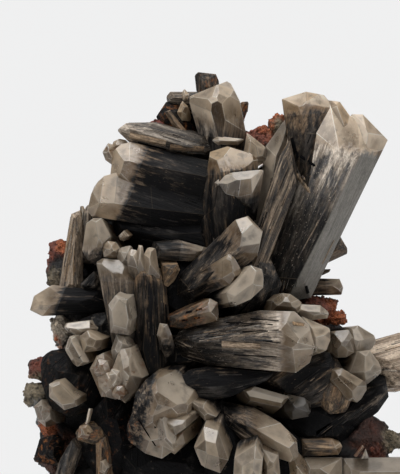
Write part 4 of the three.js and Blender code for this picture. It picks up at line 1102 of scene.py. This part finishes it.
grow("prism_crystal", [
    dict(
        ring=((8, 114), (9.5, 109), (13, 107.5), (20, 110.5), (27, 117), (26, 125.5), (20, 127.5)), y=-36,
        nose=6, tilt=(44, 30, 50, 38), run=(-8, 30, -2), look=(-0.25, 0.3), clear=16, soft=3, warm=0.35,
        chips=2, shade=0.9,
    ),
])

# Barrel. The thick barrel that points right: a broad many-sided clear head, a silvery cracked zone,
# then black, striated body. Selenite, grown from the matrix.
grow("barrel_crystal", [
    dict(
        ring=((-18, 90), (-14, 82), (0, 77.5), (42.5, 74), (49.5, 79), (52, 87), (49, 98), (42, 104.5),
        (25, 105), (-14, 97)), y=-22, nose=13, tilt=(44, 40, 48, 42), run=(0, 12, 0), tail=45, rear=8,
        lean=(-0.16, 0), grain=(1, -0.03), tip=(1, 0), clear=((35, 106), (36, 72)), soft=1.8, tone=0.72,
        chips=5, laths=0.08, cuts=(((38, -35, 97), (-0.1, -0.72, 0.69)),
        ((44, -34, 90), (0.42, -0.85, 0.3)), ((40, -34, 84), (0.3, -0.8, -0.5))),
        facets=((39, 100, 1.2, 0, 1.5), (45, 92, 0.5, 0.15, 1), (44, 80, -0.3, 0.8, 1)),
        ledges=((((6, 88.5), (25, 87.5)), 2.2, 1.6, 0.95, 0.7), (((8, 99), (31, 98)), 0.35, 0.3, -0.9, 0),
        (((16, 94.5), (34, 95.5)), 0.3, 0.3, -0.9, 0), (((12, 83), (33, 82)), 0.4, 0.3, -0.9, 0),
        (((26, 90), (35, 89)), 0.35, 0.3, -0.9, 0), (((14, 96.5), (28, 96)), 0.3, 0.3, 1.5, 0.3),
        (((20, 101), (34, 100)), 0.3, 0.3, -0.9, 0), (((41, 98.5), (46.5, 98)), 1.2, 0.8, 0.8, 1)),
    ),
    dict(
        ring=((-34, 84), (-24, 70), (-4, 72), (2, 84), (-8, 98), (-22, 98)), y=-6, nose=8,
        tilts=(44, 50, 40, 46), run=(2, 24, 0), grain=(1, 0.1), clear=NOT_CLEAR, tone=0.25, warm=0.6,
    ),
])

# Rod and stubs. Short crystals between lance and barrel: the dark rod, the golden stub and the stub
# with rusty holes, all broken off square. Selenite, grown from the matrix.
grow("horizontal_rod", [
    dict(
        ring=((-27, 130), (-8, 129.3), (-3, 131), (0, 135.5), (-15, 139.8), (-27, 138.5)), y=-8, nose=4,
        tilt=(44, 36), run=(-4, 18, 2), grain=(0.99, -0.05), tip=(1, 0), clear=((-9, 141), (-11, 128)),
        soft=4, tone=0.45, shade=0.8,
    ),
])
grow("golden_stub", [
    dict(
        ring=((-24, 128), (-23, 118), (-21, 116.5), (-18, 119), (-15, 125), (-16, 128)), y=-15, nose=3.5,
        tilt=(42, 34), run=(-2, 24, 4), grain=(0.65, 0.76), clear=NOT_CLEAR, tone=0.68, warm=1,
    ),
])
grow("hatched_stub", [
    dict(
        ring=((-20, 97), (-12, 96), (4.5, 100), (4, 109), (0, 111), (-20, 102)), y=-22, nose=5,
        tilt=(40, 48), run=(-6, 20, 0), lean=(-0.2, 0), grain=(0.95, 0.3), tip=(1, 0.2),
        clear=((-3, 112), (-4, 95)), tone=0.45, warm=0.95, rust=0.32, shade=0.65, laths=0.08,
        # The black ledges stand for its holes: painted shade, not cut in.
        ledges=((((-12, 104), (-9, 104.5)), 0.9, 0.4, -0.9, 0),
        (((-8, 101), (-5, 101.5)), 0.8, 0.4, -0.9, 0), (((-14, 100), (-11, 100.3)), 0.7, 0.4, -0.9, 0),
        (((-7, 105), (-4, 106)), 0.7, 0.4, -0.9, 0)),
    ),
    dict(
        ring=((-28, 104), (-16, 94), (2, 98), (14, 112), (8, 124), (-14, 134), (-28, 126)), y=-2, nose=8,
        tilts=(44, 50, 40, 46), run=(2, 20, 0), clear=NOT_CLEAR, tone=0.08, warm=0.5,
    ),
])

# Leaf, slab and cylinder. Dark crystals under the barrel: the near-black leaf, the slab with a
# light top and the short glassy cylinder. Selenite, grown from the matrix.
grow("leaf_crystal", [
    dict(
        ring=((-18, 70), (-12, 63), (0, 60), (10, 62), (28, 70), (32, 74), (-2, 77), (-10, 75.5)), y=-22,
        nose=5, tilt=(40, 50), run=(0, 16, 0), grain=(0.98, 0.1), clear=NOT_CLEAR, tone=0.2, warm=0.6,
    ),
])
grow("grey_slab", [
    dict(
        ring=((16, 65.3), (20, 60), (35.3, 56.7), (39.8, 62.3), (22, 67.3)), y=-22, nose=2, tilt=(30, 46),
        run=(-4, 18, -4), grain=(0.95, -0.3), tip=(1, -0.2), dull=True, warm=0.8, shade=0.16, chips=1,
        facets=((28, 62.5, 0.6, 0, 0.34), (24, 65.8, 0.3, 0, 0.3), (36.5, 61, 0.3, 0.1, 0.25)),
    ),
])
grow("dark_cylinder", [
    dict(
        ring=((37, 55), (41, 50.5), (49, 52), (51, 56), (50.5, 58.5), (47, 61.5), (40, 63), (37, 62)),
        y=-16, nose=6, tilt=(36, 48), run=(-16, 24, 2), grain=(0.9, -0.3), warm=0.1, shade=0.16,
    ),
])

# Rugged heads. Cluster of rugged clear heads at the left, with orange clay in their clefts.
# Selenite, grown from the matrix.
grow("rugged_crystals", [
    dict(
        ring=((-50, 72), (-47, 62), (-43, 58.5), (-36, 66), (-33.5, 71.5), (-40, 86), (-45, 86)), y=-28,
        nose=8, tilt=(44, 36, 50), run=(12, 32, 6), clear=14, soft=4, rust=0.2, chips=6, shade=0.8,
    ),
    dict(
        ring=((-49.5, 85), (-48, 80), (-41.5, 84), (-40.5, 87.5), (-42.5, 92), (-46.5, 93)), y=-25,
        nose=4, tilt=(42, 34), run=(8, 22, 0), clear=10, soft=4, warm=0.15, rust=0.1, chips=4, shade=0.9,
    ),
    dict(
        ring=((-60, 76), (-54, 62), (-46, 62), (-45, 70), (-48, 80), (-53, 84), (-57, 82)), y=-24, nose=7,
        tilt=(38, 50, 44), run=(12, 28, 4), clear=12, soft=4, warm=0.6, rust=0.4, shade=0.7, chips=6,
    ),
    dict(
        ring=((-56, 72), (-55, 66), (-52, 62), (-47, 60.5), (-44, 66), (-46, 73), (-52, 75)), y=-30,
        nose=4, tilt=(46, 36), run=(8, 20, 4), clear=8, soft=4, warm=0.45, rust=0.3, chips=4, shade=0.8,
    ),
    dict(
        ring=((-51, 70), (-47, 66), (-43.5, 70), (-45, 75), (-49, 76)), y=-33, nose=3, tilt=(40, 52, 34),
        run=(8, 20, 4), clear=8, soft=3, warm=0.15, rust=0.2,
    ),
    dict(
        ring=((-58, 74), (-53, 70), (-49, 74), (-51, 80), (-56, 81)), y=-29, nose=2.5, tilt=(46, 34, 50),
        run=(8, 20, 2), clear=8, soft=3, warm=0.5, rust=0.5, shade=0.75,
    ),
    dict(
        ring=((-49, 63), (-45, 60.5), (-42, 63), (-43, 67.5), (-47, 68)), y=-34, nose=2,
        tilt=(46, 38, 50), run=(8, 20, 4), clear=8, soft=3, warm=0.6, rust=0.6, shade=0.8,
    ),
])

# Lower big crystal. The largest clear heads at the bottom, folded and stepped, dark and rough to
# the left. Selenite, grown from the matrix.
grow("lower_big_crystal", [
    dict(
        ring=((-39, 54), (-34, 46), (-24, 43), (-12.5, 50), (-11, 58), (-12, 63.5), (-22, 70.8),
        (-32, 70.8), (-37, 64)), y=-36, nose=12, tilt=(40, 34, 46), run=(16, 40, 12), clear=20,
        clear2=((-26, 74), (-33.5, 40)), soft=1.6, warm=0.55, tone=0.25, laths=0.05, shade=0.9,
        cuts=(((-20, -46, 59), (0.2, -0.8, 0.5)), ((-20, -46, 59), (0.25, -0.9, -0.3)),
        ((-26, -44, 68), (-0.3, -0.6, 0.7))), facets=((-20, 63, 0.9, 0.1, 0.85),
        (-20, 68, 0.9, 0.15, 0.85), (-20, 54, -0.5, 0.8, 0.9), (-29, 69, -0.3, 1, 0.9)),
    ),
    dict(
        ring=((-43, 44), (-40, 39), (-32, 34), (-24, 31.5), (-13, 39), (-12.5, 54), (-20, 58), (-38, 56)),
        y=-33, nose=9, tilt=(46, 38, 52), run=(14, 38, 12), clear=20, clear2=((-30, 60), (-35, 30)),
        soft=1.6, warm=0.6, rust=0.15, tone=0.25, chips=5, laths=0.05, shade=0.75,
        cuts=(((-22, -42, 46), (0.35, -0.9, 0.25)), ((-22, -42, 46), (-0.35, -0.9, -0.1)),
        ((-16, -40, 42), (0.5, -0.7, -0.5))), ledges=((((-35.5, 51), (-27, 38)), 0.4, 0.3, -0.9, 0),
        (((-31, 54), (-27, 47)), 0.4, 0.3, -0.9, 0)),
    ),
    dict(
        ring=((-44, 18), (-30, 10), (-6, 12), (0, 26), (-8, 38), (-26, 40), (-44, 34)), y=-16, nose=8,
        tilts=(44, 50, 40, 46), run=(4, 28, 4), clear=NOT_CLEAR, tone=0.12, warm=0.5,
    ),
    dict(
        ring=((-25, 38), (-18, 35), (-16, 40), (-22, 54), (-27, 55)), y=-42, nose=3.5, tilt=(52, 40, 46),
        run=(10, 24, 8), look=(0.3, 0.25), soft=2, warm=0.5, chips=1, shade=0.75,
        facets=((-22, 46, 0.5, 0.3, 0.85),),
    ),
    dict(
        ring=((-22, 46), (-17, 43.5), (-12, 47), (-12, 51), (-23, 51.5)), y=-42, nose=3.5,
        tilt=(46, 52, 40), run=(10, 24, 8), look=(0.2, 0.5), soft=2, warm=0.5, chips=1, shade=0.65,
        facets=((-17, 48, 0.3, 0.3, 0.85),),
    ),
    dict(
        ring=((-21, 36), (-18, 33.5), (-12.5, 39), (-13.5, 45), (-19, 43)), y=-40, nose=3,
        tilt=(46, 40, 52), run=(10, 24, 8), look=(0.35, -0.3), soft=2, warm=0.9, shade=0.5, chips=1,
    ),
])

# Black crystal and diamond. The black crystal at the left edge with the clear diamond on its front,
# and the dark block and striated spike below. Selenite, grown from the matrix.
grow("black_left_crystal", [
    dict(
        ring=((-85, 81.5), (-84, 68), (-80, 56), (-70, 52), (-58, 56), (-56, 70), (-60, 78), (-73, 84),
        (-79, 85)), y=-10, nose=8, tilt=(42, 50, 36), run=(14, 20, 2), grain=(0.6, 0.8), clear=NOT_CLEAR,
        tone=0.18, warm=0.7, rust=0.08, chips=5,
    ),
    dict(
        ring=((-88, 57), (-86, 50), (-82, 46.5), (-77, 49), (-78, 58), (-84, 60.5)), y=-8, nose=4,
        tilt=(40, 32), run=(6, 12, 0), clear=8, soft=4, warm=0.2, shade=0.75, rust=0.3,
    ),
])
grow("diamond_crystal", [
    dict(
        ring=((-80, 62), (-72.5, 55.5), (-66, 57.5), (-66, 61), (-75, 69.8), (-80, 68.5)), y=-26, nose=2,
        tilt=(30, 46, 38), run=(11, 30, 6), look=(0.1, 0.15), clear=14, soft=3, warm=0.5, shade=0.85,
        chips=1, facets=((-73, 62, 0.3, 0.5, 0.75),),
    ),
])
grow("left_block", [
    dict(
        ring=((-88.5, 29.3), (-75, 27), (-74, 40), (-78, 43), (-85, 41)), y=-9, nose=5, tilt=(46, 36),
        run=(6, 14, 0), clear=NOT_CLEAR, tone=0.22, rust=0.3,
    ),
])
grow("spike_crystal", [
    dict(
        ring=((-81, 13), (-73, 14), (-65.5, 36), (-69, 40.5), (-74, 32)), y=-18, nose=4, tilt=(46, 38),
        run=(4, 18, 2), lean=(0, -0.2), grain=(0.35, 0.94), tip=(0.3, 1), clear=NOT_CLEAR, tone=0.6,
    ),
])

# Twisted crystals. Rusty, twisted crystals between spike and lower heads, stained brown, orange and
# cream. Selenite, grown from the matrix.
grow("twisted_crystals", [
    dict(
        ring=((-67, 44), (-66, 40.5), (-54, 37), (-52, 42), (-55, 46.5), (-60, 49), (-65, 47)), y=-22,
        nose=5, tilt=(44, 36), run=(8, 24, 4), grain=(0.95, 0.3), clear=NOT_CLEAR, tone=0.6, warm=1,
        rust=0.3,
    ),
    dict(
        ring=((-56, 14), (-51, 14), (-50, 34), (-52, 42), (-57, 42)), y=-23, nose=4, tilt=(40, 50),
        run=(6, 22, 4), grain=(0.1, 1), clear=NOT_CLEAR, tone=0.65, warm=0.9, rust=0.3,
    ),
    dict(
        ring=((-64, 34), (-56, 20), (-40, 22), (-36, 40), (-40, 58), (-52, 62), (-62, 52)), y=-12, nose=8,
        tilts=(44, 50, 40, 46), run=(6, 26, 4), clear=NOT_CLEAR, tone=0.1, warm=0.5, rust=0.1,
    ),
    dict(
        ring=((-62, 48.5), (-60.8, 49), (-59.3, 56), (-60.3, 56.3)), y=-25, nose=0.6, tilt=(50,),
        run=(1, 8, 0), grain=(0.2, 1), warm=0, shade=1.7, chips=0,
    ),
    dict(
        ring=((-55, 25), (-52, 23), (-50, 27), (-52, 31), (-54.5, 30)), y=-26, nose=1.5, tilt=(42, 34),
        run=(2, 14, 2), warm=0.5, shade=0.8, chips=1,
    ),
    dict(
        ring=((-66, 42), (-60, 41), (-58, 45), (-61, 48.5), (-65, 47.5)), y=-25, nose=2,
        tilt=(42, 34, 50), run=(3, 14, 2), warm=1, shade=0.75, rust=0.6,
    ),
])

# Lower middle. Little crystal, lower middle head, bottom heads and the lance that points down to
# the right. Selenite, grown from the matrix.
grow("little_crystal", [
    dict(
        ring=((-11, 61), (-10, 58), (-2, 49.5), (3, 52), (-3, 58.5)), y=-29, nose=3, tilt=(40, 34),
        run=(5, 22, 6), clear=8, soft=3, warm=0.5, shade=0.85,
    ),
])
grow("lower_mid_crystal", [
    dict(
        ring=((-8, 37.5), (-4.5, 28), (5, 24.5), (9, 31), (4, 45.5), (-3, 47.5)), y=-38, nose=5,
        tilt=(36, 52, 40), run=(5, 34, 14), look=(0, 0.15), clear=14, soft=3, warm=0.5, shade=0.75,
        facets=((0, 43, 0.9, 0.1, 0.95),),
    ),
    dict(
        ring=((-6, 24), (2, 10), (16, 14), (22, 36), (16, 54), (6, 60), (-6, 56)), y=-14, nose=8,
        tilts=(44, 50, 40, 46), run=(0, 30, 4), clear=NOT_CLEAR, tone=0.1, warm=0.5,
    ),
])
grow("bottom_crystal", [
    dict(
        ring=((11.5, 23), (14, 13), (22, 12), (25, 20), (26, 31), (22.5, 38.5), (12, 32)), y=-38, nose=5,
        tilt=(40, 34, 48), run=(3, 34, 14), clear=14, soft=4, warm=0.35, chips=4,
    ),
    dict(
        ring=((25, 16), (32, 15), (35, 22), (34, 33), (26, 36)), y=-30, nose=4, tilt=(36, 48),
        run=(-2, 24, 14), clear=10, soft=4, warm=0.6, shade=0.75,
    ),
])
grow("lower_right_lance", [
    dict(
        ring=((0, 52), (4, 45), (26, 34), (40, 29.5), (44, 32), (43, 41), (35, 49), (22, 56.5), (5, 60)),
        y=-20, nose=9, tilt=(44, 36, 50), run=(0, 10, 0), lean=(-0.3, 0.1), grain=(0.85, -0.52),
        tip=(0.8, -0.5), clear=((22, 60), (24, 28)), soft=4, tone=0.45, warm=0.6, chips=6,
    ),
    dict(
        ring=((22, 38), (24, 12), (40, 10), (50, 18), (48, 38), (38, 46)), y=-12, nose=6,
        tilts=(44, 50, 40, 46), run=(-2, 28, 4), clear=NOT_CLEAR, tone=0.1, warm=0.5,
    ),
])

# Crystals at the right. Clear crystals behind the barrel's head, two stubs that stick out to the
# right and the wedge behind the large blade. Selenite, grown from the matrix.
grow("pale_right_crystals", [
    dict(
        ring=((42, 104), (50, 100), (59, 101), (59.5, 104), (55, 107.5), (45, 108)), y=-12, nose=4,
        tilt=(42, 36), run=(-12, 22, 0), clear=10, soft=4, warm=0.3, chips=5,
    ),
    dict(
        ring=((30, 104), (44, 103), (46, 109), (40, 113.2), (36, 113.5), (31, 110)), y=-13, nose=4,
        tilt=(42, 36), run=(-12, 20, -2), clear=8, soft=4, warm=0.6, shade=0.75,
    ),
    dict(
        ring=((44, 84), (52, 82.5), (58, 85), (60, 90), (60, 96), (46, 102)), y=-14, nose=7,
        tilt=(42, 36, 48), run=(-12, 26, -2), clear=12, soft=4, warm=0.45, chips=5,
    ),
])
grow("right_stubs", [
    dict(
        ring=((44, 112), (66, 112.5), (67, 116), (65, 120.5), (44, 121)), y=12, nose=5, tilt=(42, 36),
        run=(-4, 12, 0), grain=(1, 0), tip=(1, 0), clear=((60, 122), (61, 110)), soft=2, tone=0.45,
        warm=0.6,
    ),
])
grow("thin_stub", [
    dict(
        ring=((44, 118), (56, 122.3), (60, 124), (60.6, 125.4), (46, 125)), y=15, nose=2.5, tilt=(42,),
        run=(0, 6, 0), grain=(0.95, 0.3), clear=NOT_CLEAR, tone=0.6, warm=0.8,
    ),
])
grow("back_wedge_crystal", [
    dict(
        ring=((46, 124), (54, 126), (69, 133), (69.5, 136), (65.5, 142), (50, 138)), y=24, nose=5,
        tilt=(42, 36), run=(-4, 8, 0), tail=45, rear=3, grain=(0.85, 0.5), clear=NOT_CLEAR, tone=0.6,
        warm=0.7,
    ),
])

# Knot. Knot of rounded clear heads at the right on a splintery tan base. Selenite, grown from the
# matrix.
grow("knot_crystals", [
    dict(
        ring=((61, 70), (69, 60), (73, 59), (76, 60.5), (79, 65), (78, 69), (66, 76), (62, 75)), y=-16,
        nose=8, tilt=(42, 34, 48), run=(-14, 26, 4), clear=9, soft=3, warm=0.7, chips=5, shade=0.6,
    ),
    dict(
        ring=((70, 74), (77, 67), (86, 74), (85, 79), (80, 85), (74, 84.5)), y=-10, nose=8,
        tilt=(42, 36, 48), run=(-14, 24, 0), clear=9, soft=3, warm=0.35, shade=0.8, chips=6,
    ),
    dict(
        ring=((60.5, 84), (64, 81.5), (68, 81.5), (72, 84), (73, 90), (70, 95.5), (61, 94.5)), y=-10,
        nose=7, tilt=(38, 46), run=(-12, 26, -2), clear=8, soft=3, warm=0.6, shade=0.65, chips=5,
    ),
    dict(
        ring=((68, 88), (72, 82), (79, 84), (82, 86.5), (83, 90), (82, 92.5), (74, 97.4), (70, 96.5)),
        y=-6, nose=8, tilt=(40, 34, 48), run=(-14, 22, -2), clear=8, soft=3, shade=0.8, chips=6,
    ),
    dict(
        ring=((54, 65), (56, 58), (60, 53), (68, 54), (72, 64), (66, 72), (59, 72.5)), y=-10, nose=5,
        tilt=(40, 48), run=(-12, 22, 4), grain=(0.3, 0.95), clear=NOT_CLEAR, tone=0.65, warm=0.9,
        rust=0.1,
    ),
    dict(
        ring=((22, 72), (40, 54), (60, 58), (68, 74), (62, 84), (46, 84)), y=-8, nose=6,
        tilts=(44, 50, 40, 46), run=(-4, 26, 0), grain=(0.8, 0.6), clear=NOT_CLEAR, tone=0.36, warm=0.8,
        laths=0.04,
    ),
])

# Far right crystal. The banded crystal that points right.
# Selenite, grown from the matrix.
grow("right_far_crystal", [
    dict(
        ring=((74, 78), (90, 65.8), (99, 65.5), (108, 71), (112, 81), (110, 91), (104, 96), (76, 88)),
        y=6, nose=10, tilt=(46, 36, 42), run=(-6, 10, -2), tail=45, rear=6, grain=(0.95, 0.28),
        tip=(1, 0.2), clear=NOT_CLEAR, tone=1, warm=0.55, shade=1.6,
    ),
])

# Lower right. The black diagonal blade, the tan crystal and the grey-beige slabs at the lower
# right. Selenite, grown from the matrix.
grow("dark_diagonal_blade", [
    dict(
        ring=((45, 42), (48, 34), (62, 37), (84, 54), (91, 64), (89, 70.5), (83, 72), (50, 52)), y=-2,
        nose=8, tilt=(44, 36), run=(-4, 12, 4), grain=(0.8, 0.6), tip=(0.8, 0.6), clear=NOT_CLEAR,
    ),
    dict(
        ring=((36, 52), (46, 36), (66, 36), (72, 46), (64, 58), (50, 60)), y=-4, nose=6,
        tilts=(44, 50, 40, 46), run=(-4, 24, 4), clear=NOT_CLEAR, tone=0.1,
    ),
])
grow("tan_crystal", [
    dict(
        ring=((46, 32), (64, 33), (66.5, 36.5), (65, 39), (61, 40.5), (46, 40.5)), y=-15, nose=4,
        tilt=(42, 36), run=(-2, 16, 2), grain=(1, -0.1), tip=(1, -0.2), clear=((61.5, 42), (60.5, 30)),
        soft=1.5, tone=0.55, warm=0.9,
    ),
    dict(
        ring=((71.5, 32.5), (73, 32), (76.8, 37), (75.8, 38)), y=-20, nose=0.8, tilt=(50,),
        run=(0, 10, 0), grain=(0.6, 0.8), warm=1, shade=0.9, rust=1, chips=0,
    ),
    dict(
        ring=((75, 31), (79, 31.4), (77.5, 36)), y=-20, nose=1.2, tilt=(50,), run=(0, 10, 0), warm=0.1,
        shade=0.6, chips=0,
    ),
])
grow("bottom_right_slabs", [
    dict(
        ring=((44, 22), (48, 13), (66, 14), (65.8, 31.7), (47, 31.7)), y=-15, nose=6, tilt=(42, 36, 48),
        run=(0, 16, 0), grain=(1, 0), dull=True, shade=0.3,
    ),
    dict(
        ring=((65.8, 31.2), (66, 12), (102, 12), (107, 20), (104, 29), (95, 31.5)), y=-13, nose=6,
        tilt=(42, 36, 48), run=(0, 16, 0), grain=(1, 0), dull=True, warm=0.25, shade=0.26,
    ),
    dict(
        ring=((39, 31), (40, 22), (45, 17), (52, 20), (49, 28), (44, 34)), y=-19, nose=4, tilt=(42, 36),
        run=(-2, 18, 4), grain=(0.5, -0.8), warm=0.9, shade=0.8,
    ),
])

# Back. Shorter crystals of the same kind that close the back,
# with clear ends and dark bodies.
back_bunches = {
    "back_top_crystals": [
        dict(
            ring=((-27, 150), (-26, 126), (-8, 128), (0, 178), (-3, 188), (-12, 191), (-20, 186)), y=-44,
            nose=13, tilts=(44, 36, 40, 50), run=(4, 22, -4),
        ),
        dict(
            ring=((-34, 172), (-32, 146), (-22, 140), (-17, 160), (-20, 174), (-28, 178)), y=-42, nose=8,
            tilts=(36, 46, 42, 40), run=(5, 20, -4),
        ),
    ],
    "back_blades": [
        dict(
            ring=((16, 130), (28, 126), (43, 166), (42, 178), (34, 184), (26, 178), (18, 152)), y=-42,
            nose=10, tilts=(42, 36, 48, 50), run=(-4, 20, -4),
        ),
        dict(
            ring=((26, 132), (36, 122), (48, 138), (49, 151), (43, 158), (36, 150)), y=-41, nose=7,
            tilts=(36, 44, 40, 40), run=(-6, 18, -4),
        ),
    ],
    "back_left_crystals": [
        dict(
            ring=((-50, 150), (-48, 124), (-36, 120), (-33, 142), (-36, 153), (-44, 156)), y=-44, nose=9,
            tilts=(42, 36, 48, 40), run=(8, 22, -6),
        ),
        dict(
            ring=((-58, 118), (-56, 100), (-44, 98), (-36, 112), (-40, 126), (-50, 129)), y=-48, nose=10,
            tilts=(36, 44, 40, 42), run=(10, 26, 0),
        ),
        dict(
            ring=((-41, 104), (-28, 98), (-18, 108), (-20, 120), (-30, 126), (-39, 118)), y=-56, nose=9,
            tilts=(40, 34, 44, 40), run=(5, 26, 0),
        ),
    ],
    "back_barrel_crystals": [
        dict(
            ring=((-22, 96), (-18, 82), (-4, 76), (10, 80), (16, 92), (12, 106), (0, 112), (-14, 108)),
            y=-68, nose=12, tilts=(42, 34, 48, 40), run=(4, 30, 2),
        ),
        dict(
            ring=((8, 106), (9, 88), (22, 84), (30, 92), (29, 106), (18, 113)), y=-61, nose=9,
            tilts=(36, 46, 42, 40), run=(-4, 26, 0),
        ),
        dict(
            ring=((-16, 82), (-14, 60), (-3, 56), (6, 66), (4, 80), (-6, 86)), y=-64, nose=9,
            tilts=(40, 34, 44, 46), run=(3, 28, 3),
        ),
    ],
    "back_right_crystals": [
        dict(
            ring=((28, 106), (40, 102), (48, 112), (46, 126), (36, 131), (28, 124)), y=-50, nose=9,
            tilts=(42, 36, 48, 40), run=(-8, 26, -2),
        ),
        dict(
            ring=((42, 90), (54, 84), (62, 90), (61, 104), (52, 113), (42, 110)), y=-50, nose=8,
            tilts=(36, 44, 40, 42), run=(-10, 26, 0),
        ),
        dict(
            ring=((46, 72), (58, 64), (68, 72), (66, 86), (56, 95), (46, 92)), y=-47, nose=9,
            tilts=(40, 34, 44, 40), run=(-12, 24, 0),
        ),
    ],
    "back_lower_crystals": [
        dict(
            ring=((-47, 50), (-44, 32), (-26, 28), (-18, 40), (-22, 56), (-34, 60)), y=-60, nose=10,
            tilts=(42, 36, 48, 40), run=(8, 28, 4),
        ),
        dict(
            ring=((-58, 48), (-56, 30), (-46, 26), (-37, 34), (-38, 52), (-50, 56)), y=-52, nose=8,
            tilts=(36, 44, 40, 42), run=(10, 26, 4),
        ),
        dict(
            ring=((-64, 72), (-62, 54), (-50, 46), (-42, 56), (-44, 73), (-56, 79)), y=-47, nose=9,
            tilts=(40, 34, 44, 40), run=(12, 24, 2),
        ),
    ],
    "back_foot_crystals": [
        dict(
            ring=((14, 50), (16, 28), (29, 24), (39, 36), (36, 52), (24, 58)), y=-60, nose=10,
            tilts=(42, 36, 48, 40), run=(-6, 28, 4),
        ),
        dict(
            ring=((34, 46), (36, 26), (48, 22), (59, 32), (57, 47), (44, 54)), y=-52, nose=9,
            tilts=(36, 44, 40, 42), run=(-8, 26, 4),
        ),
        dict(
            ring=((-5, 23), (8, 17), (20, 26), (18, 43), (5, 48), (-5, 40)), y=-64, nose=9,
            tilts=(40, 34, 44, 40), run=(0, 28, 4),
        ),
    ],
}
for name, bunch in back_bunches.items():
    for k, c in enumerate(bunch):
        c.update(clear=9, soft=3, warm=0.3 + 0.1 * (k % 3), chips=5, back=True)
    grow(name, bunch)
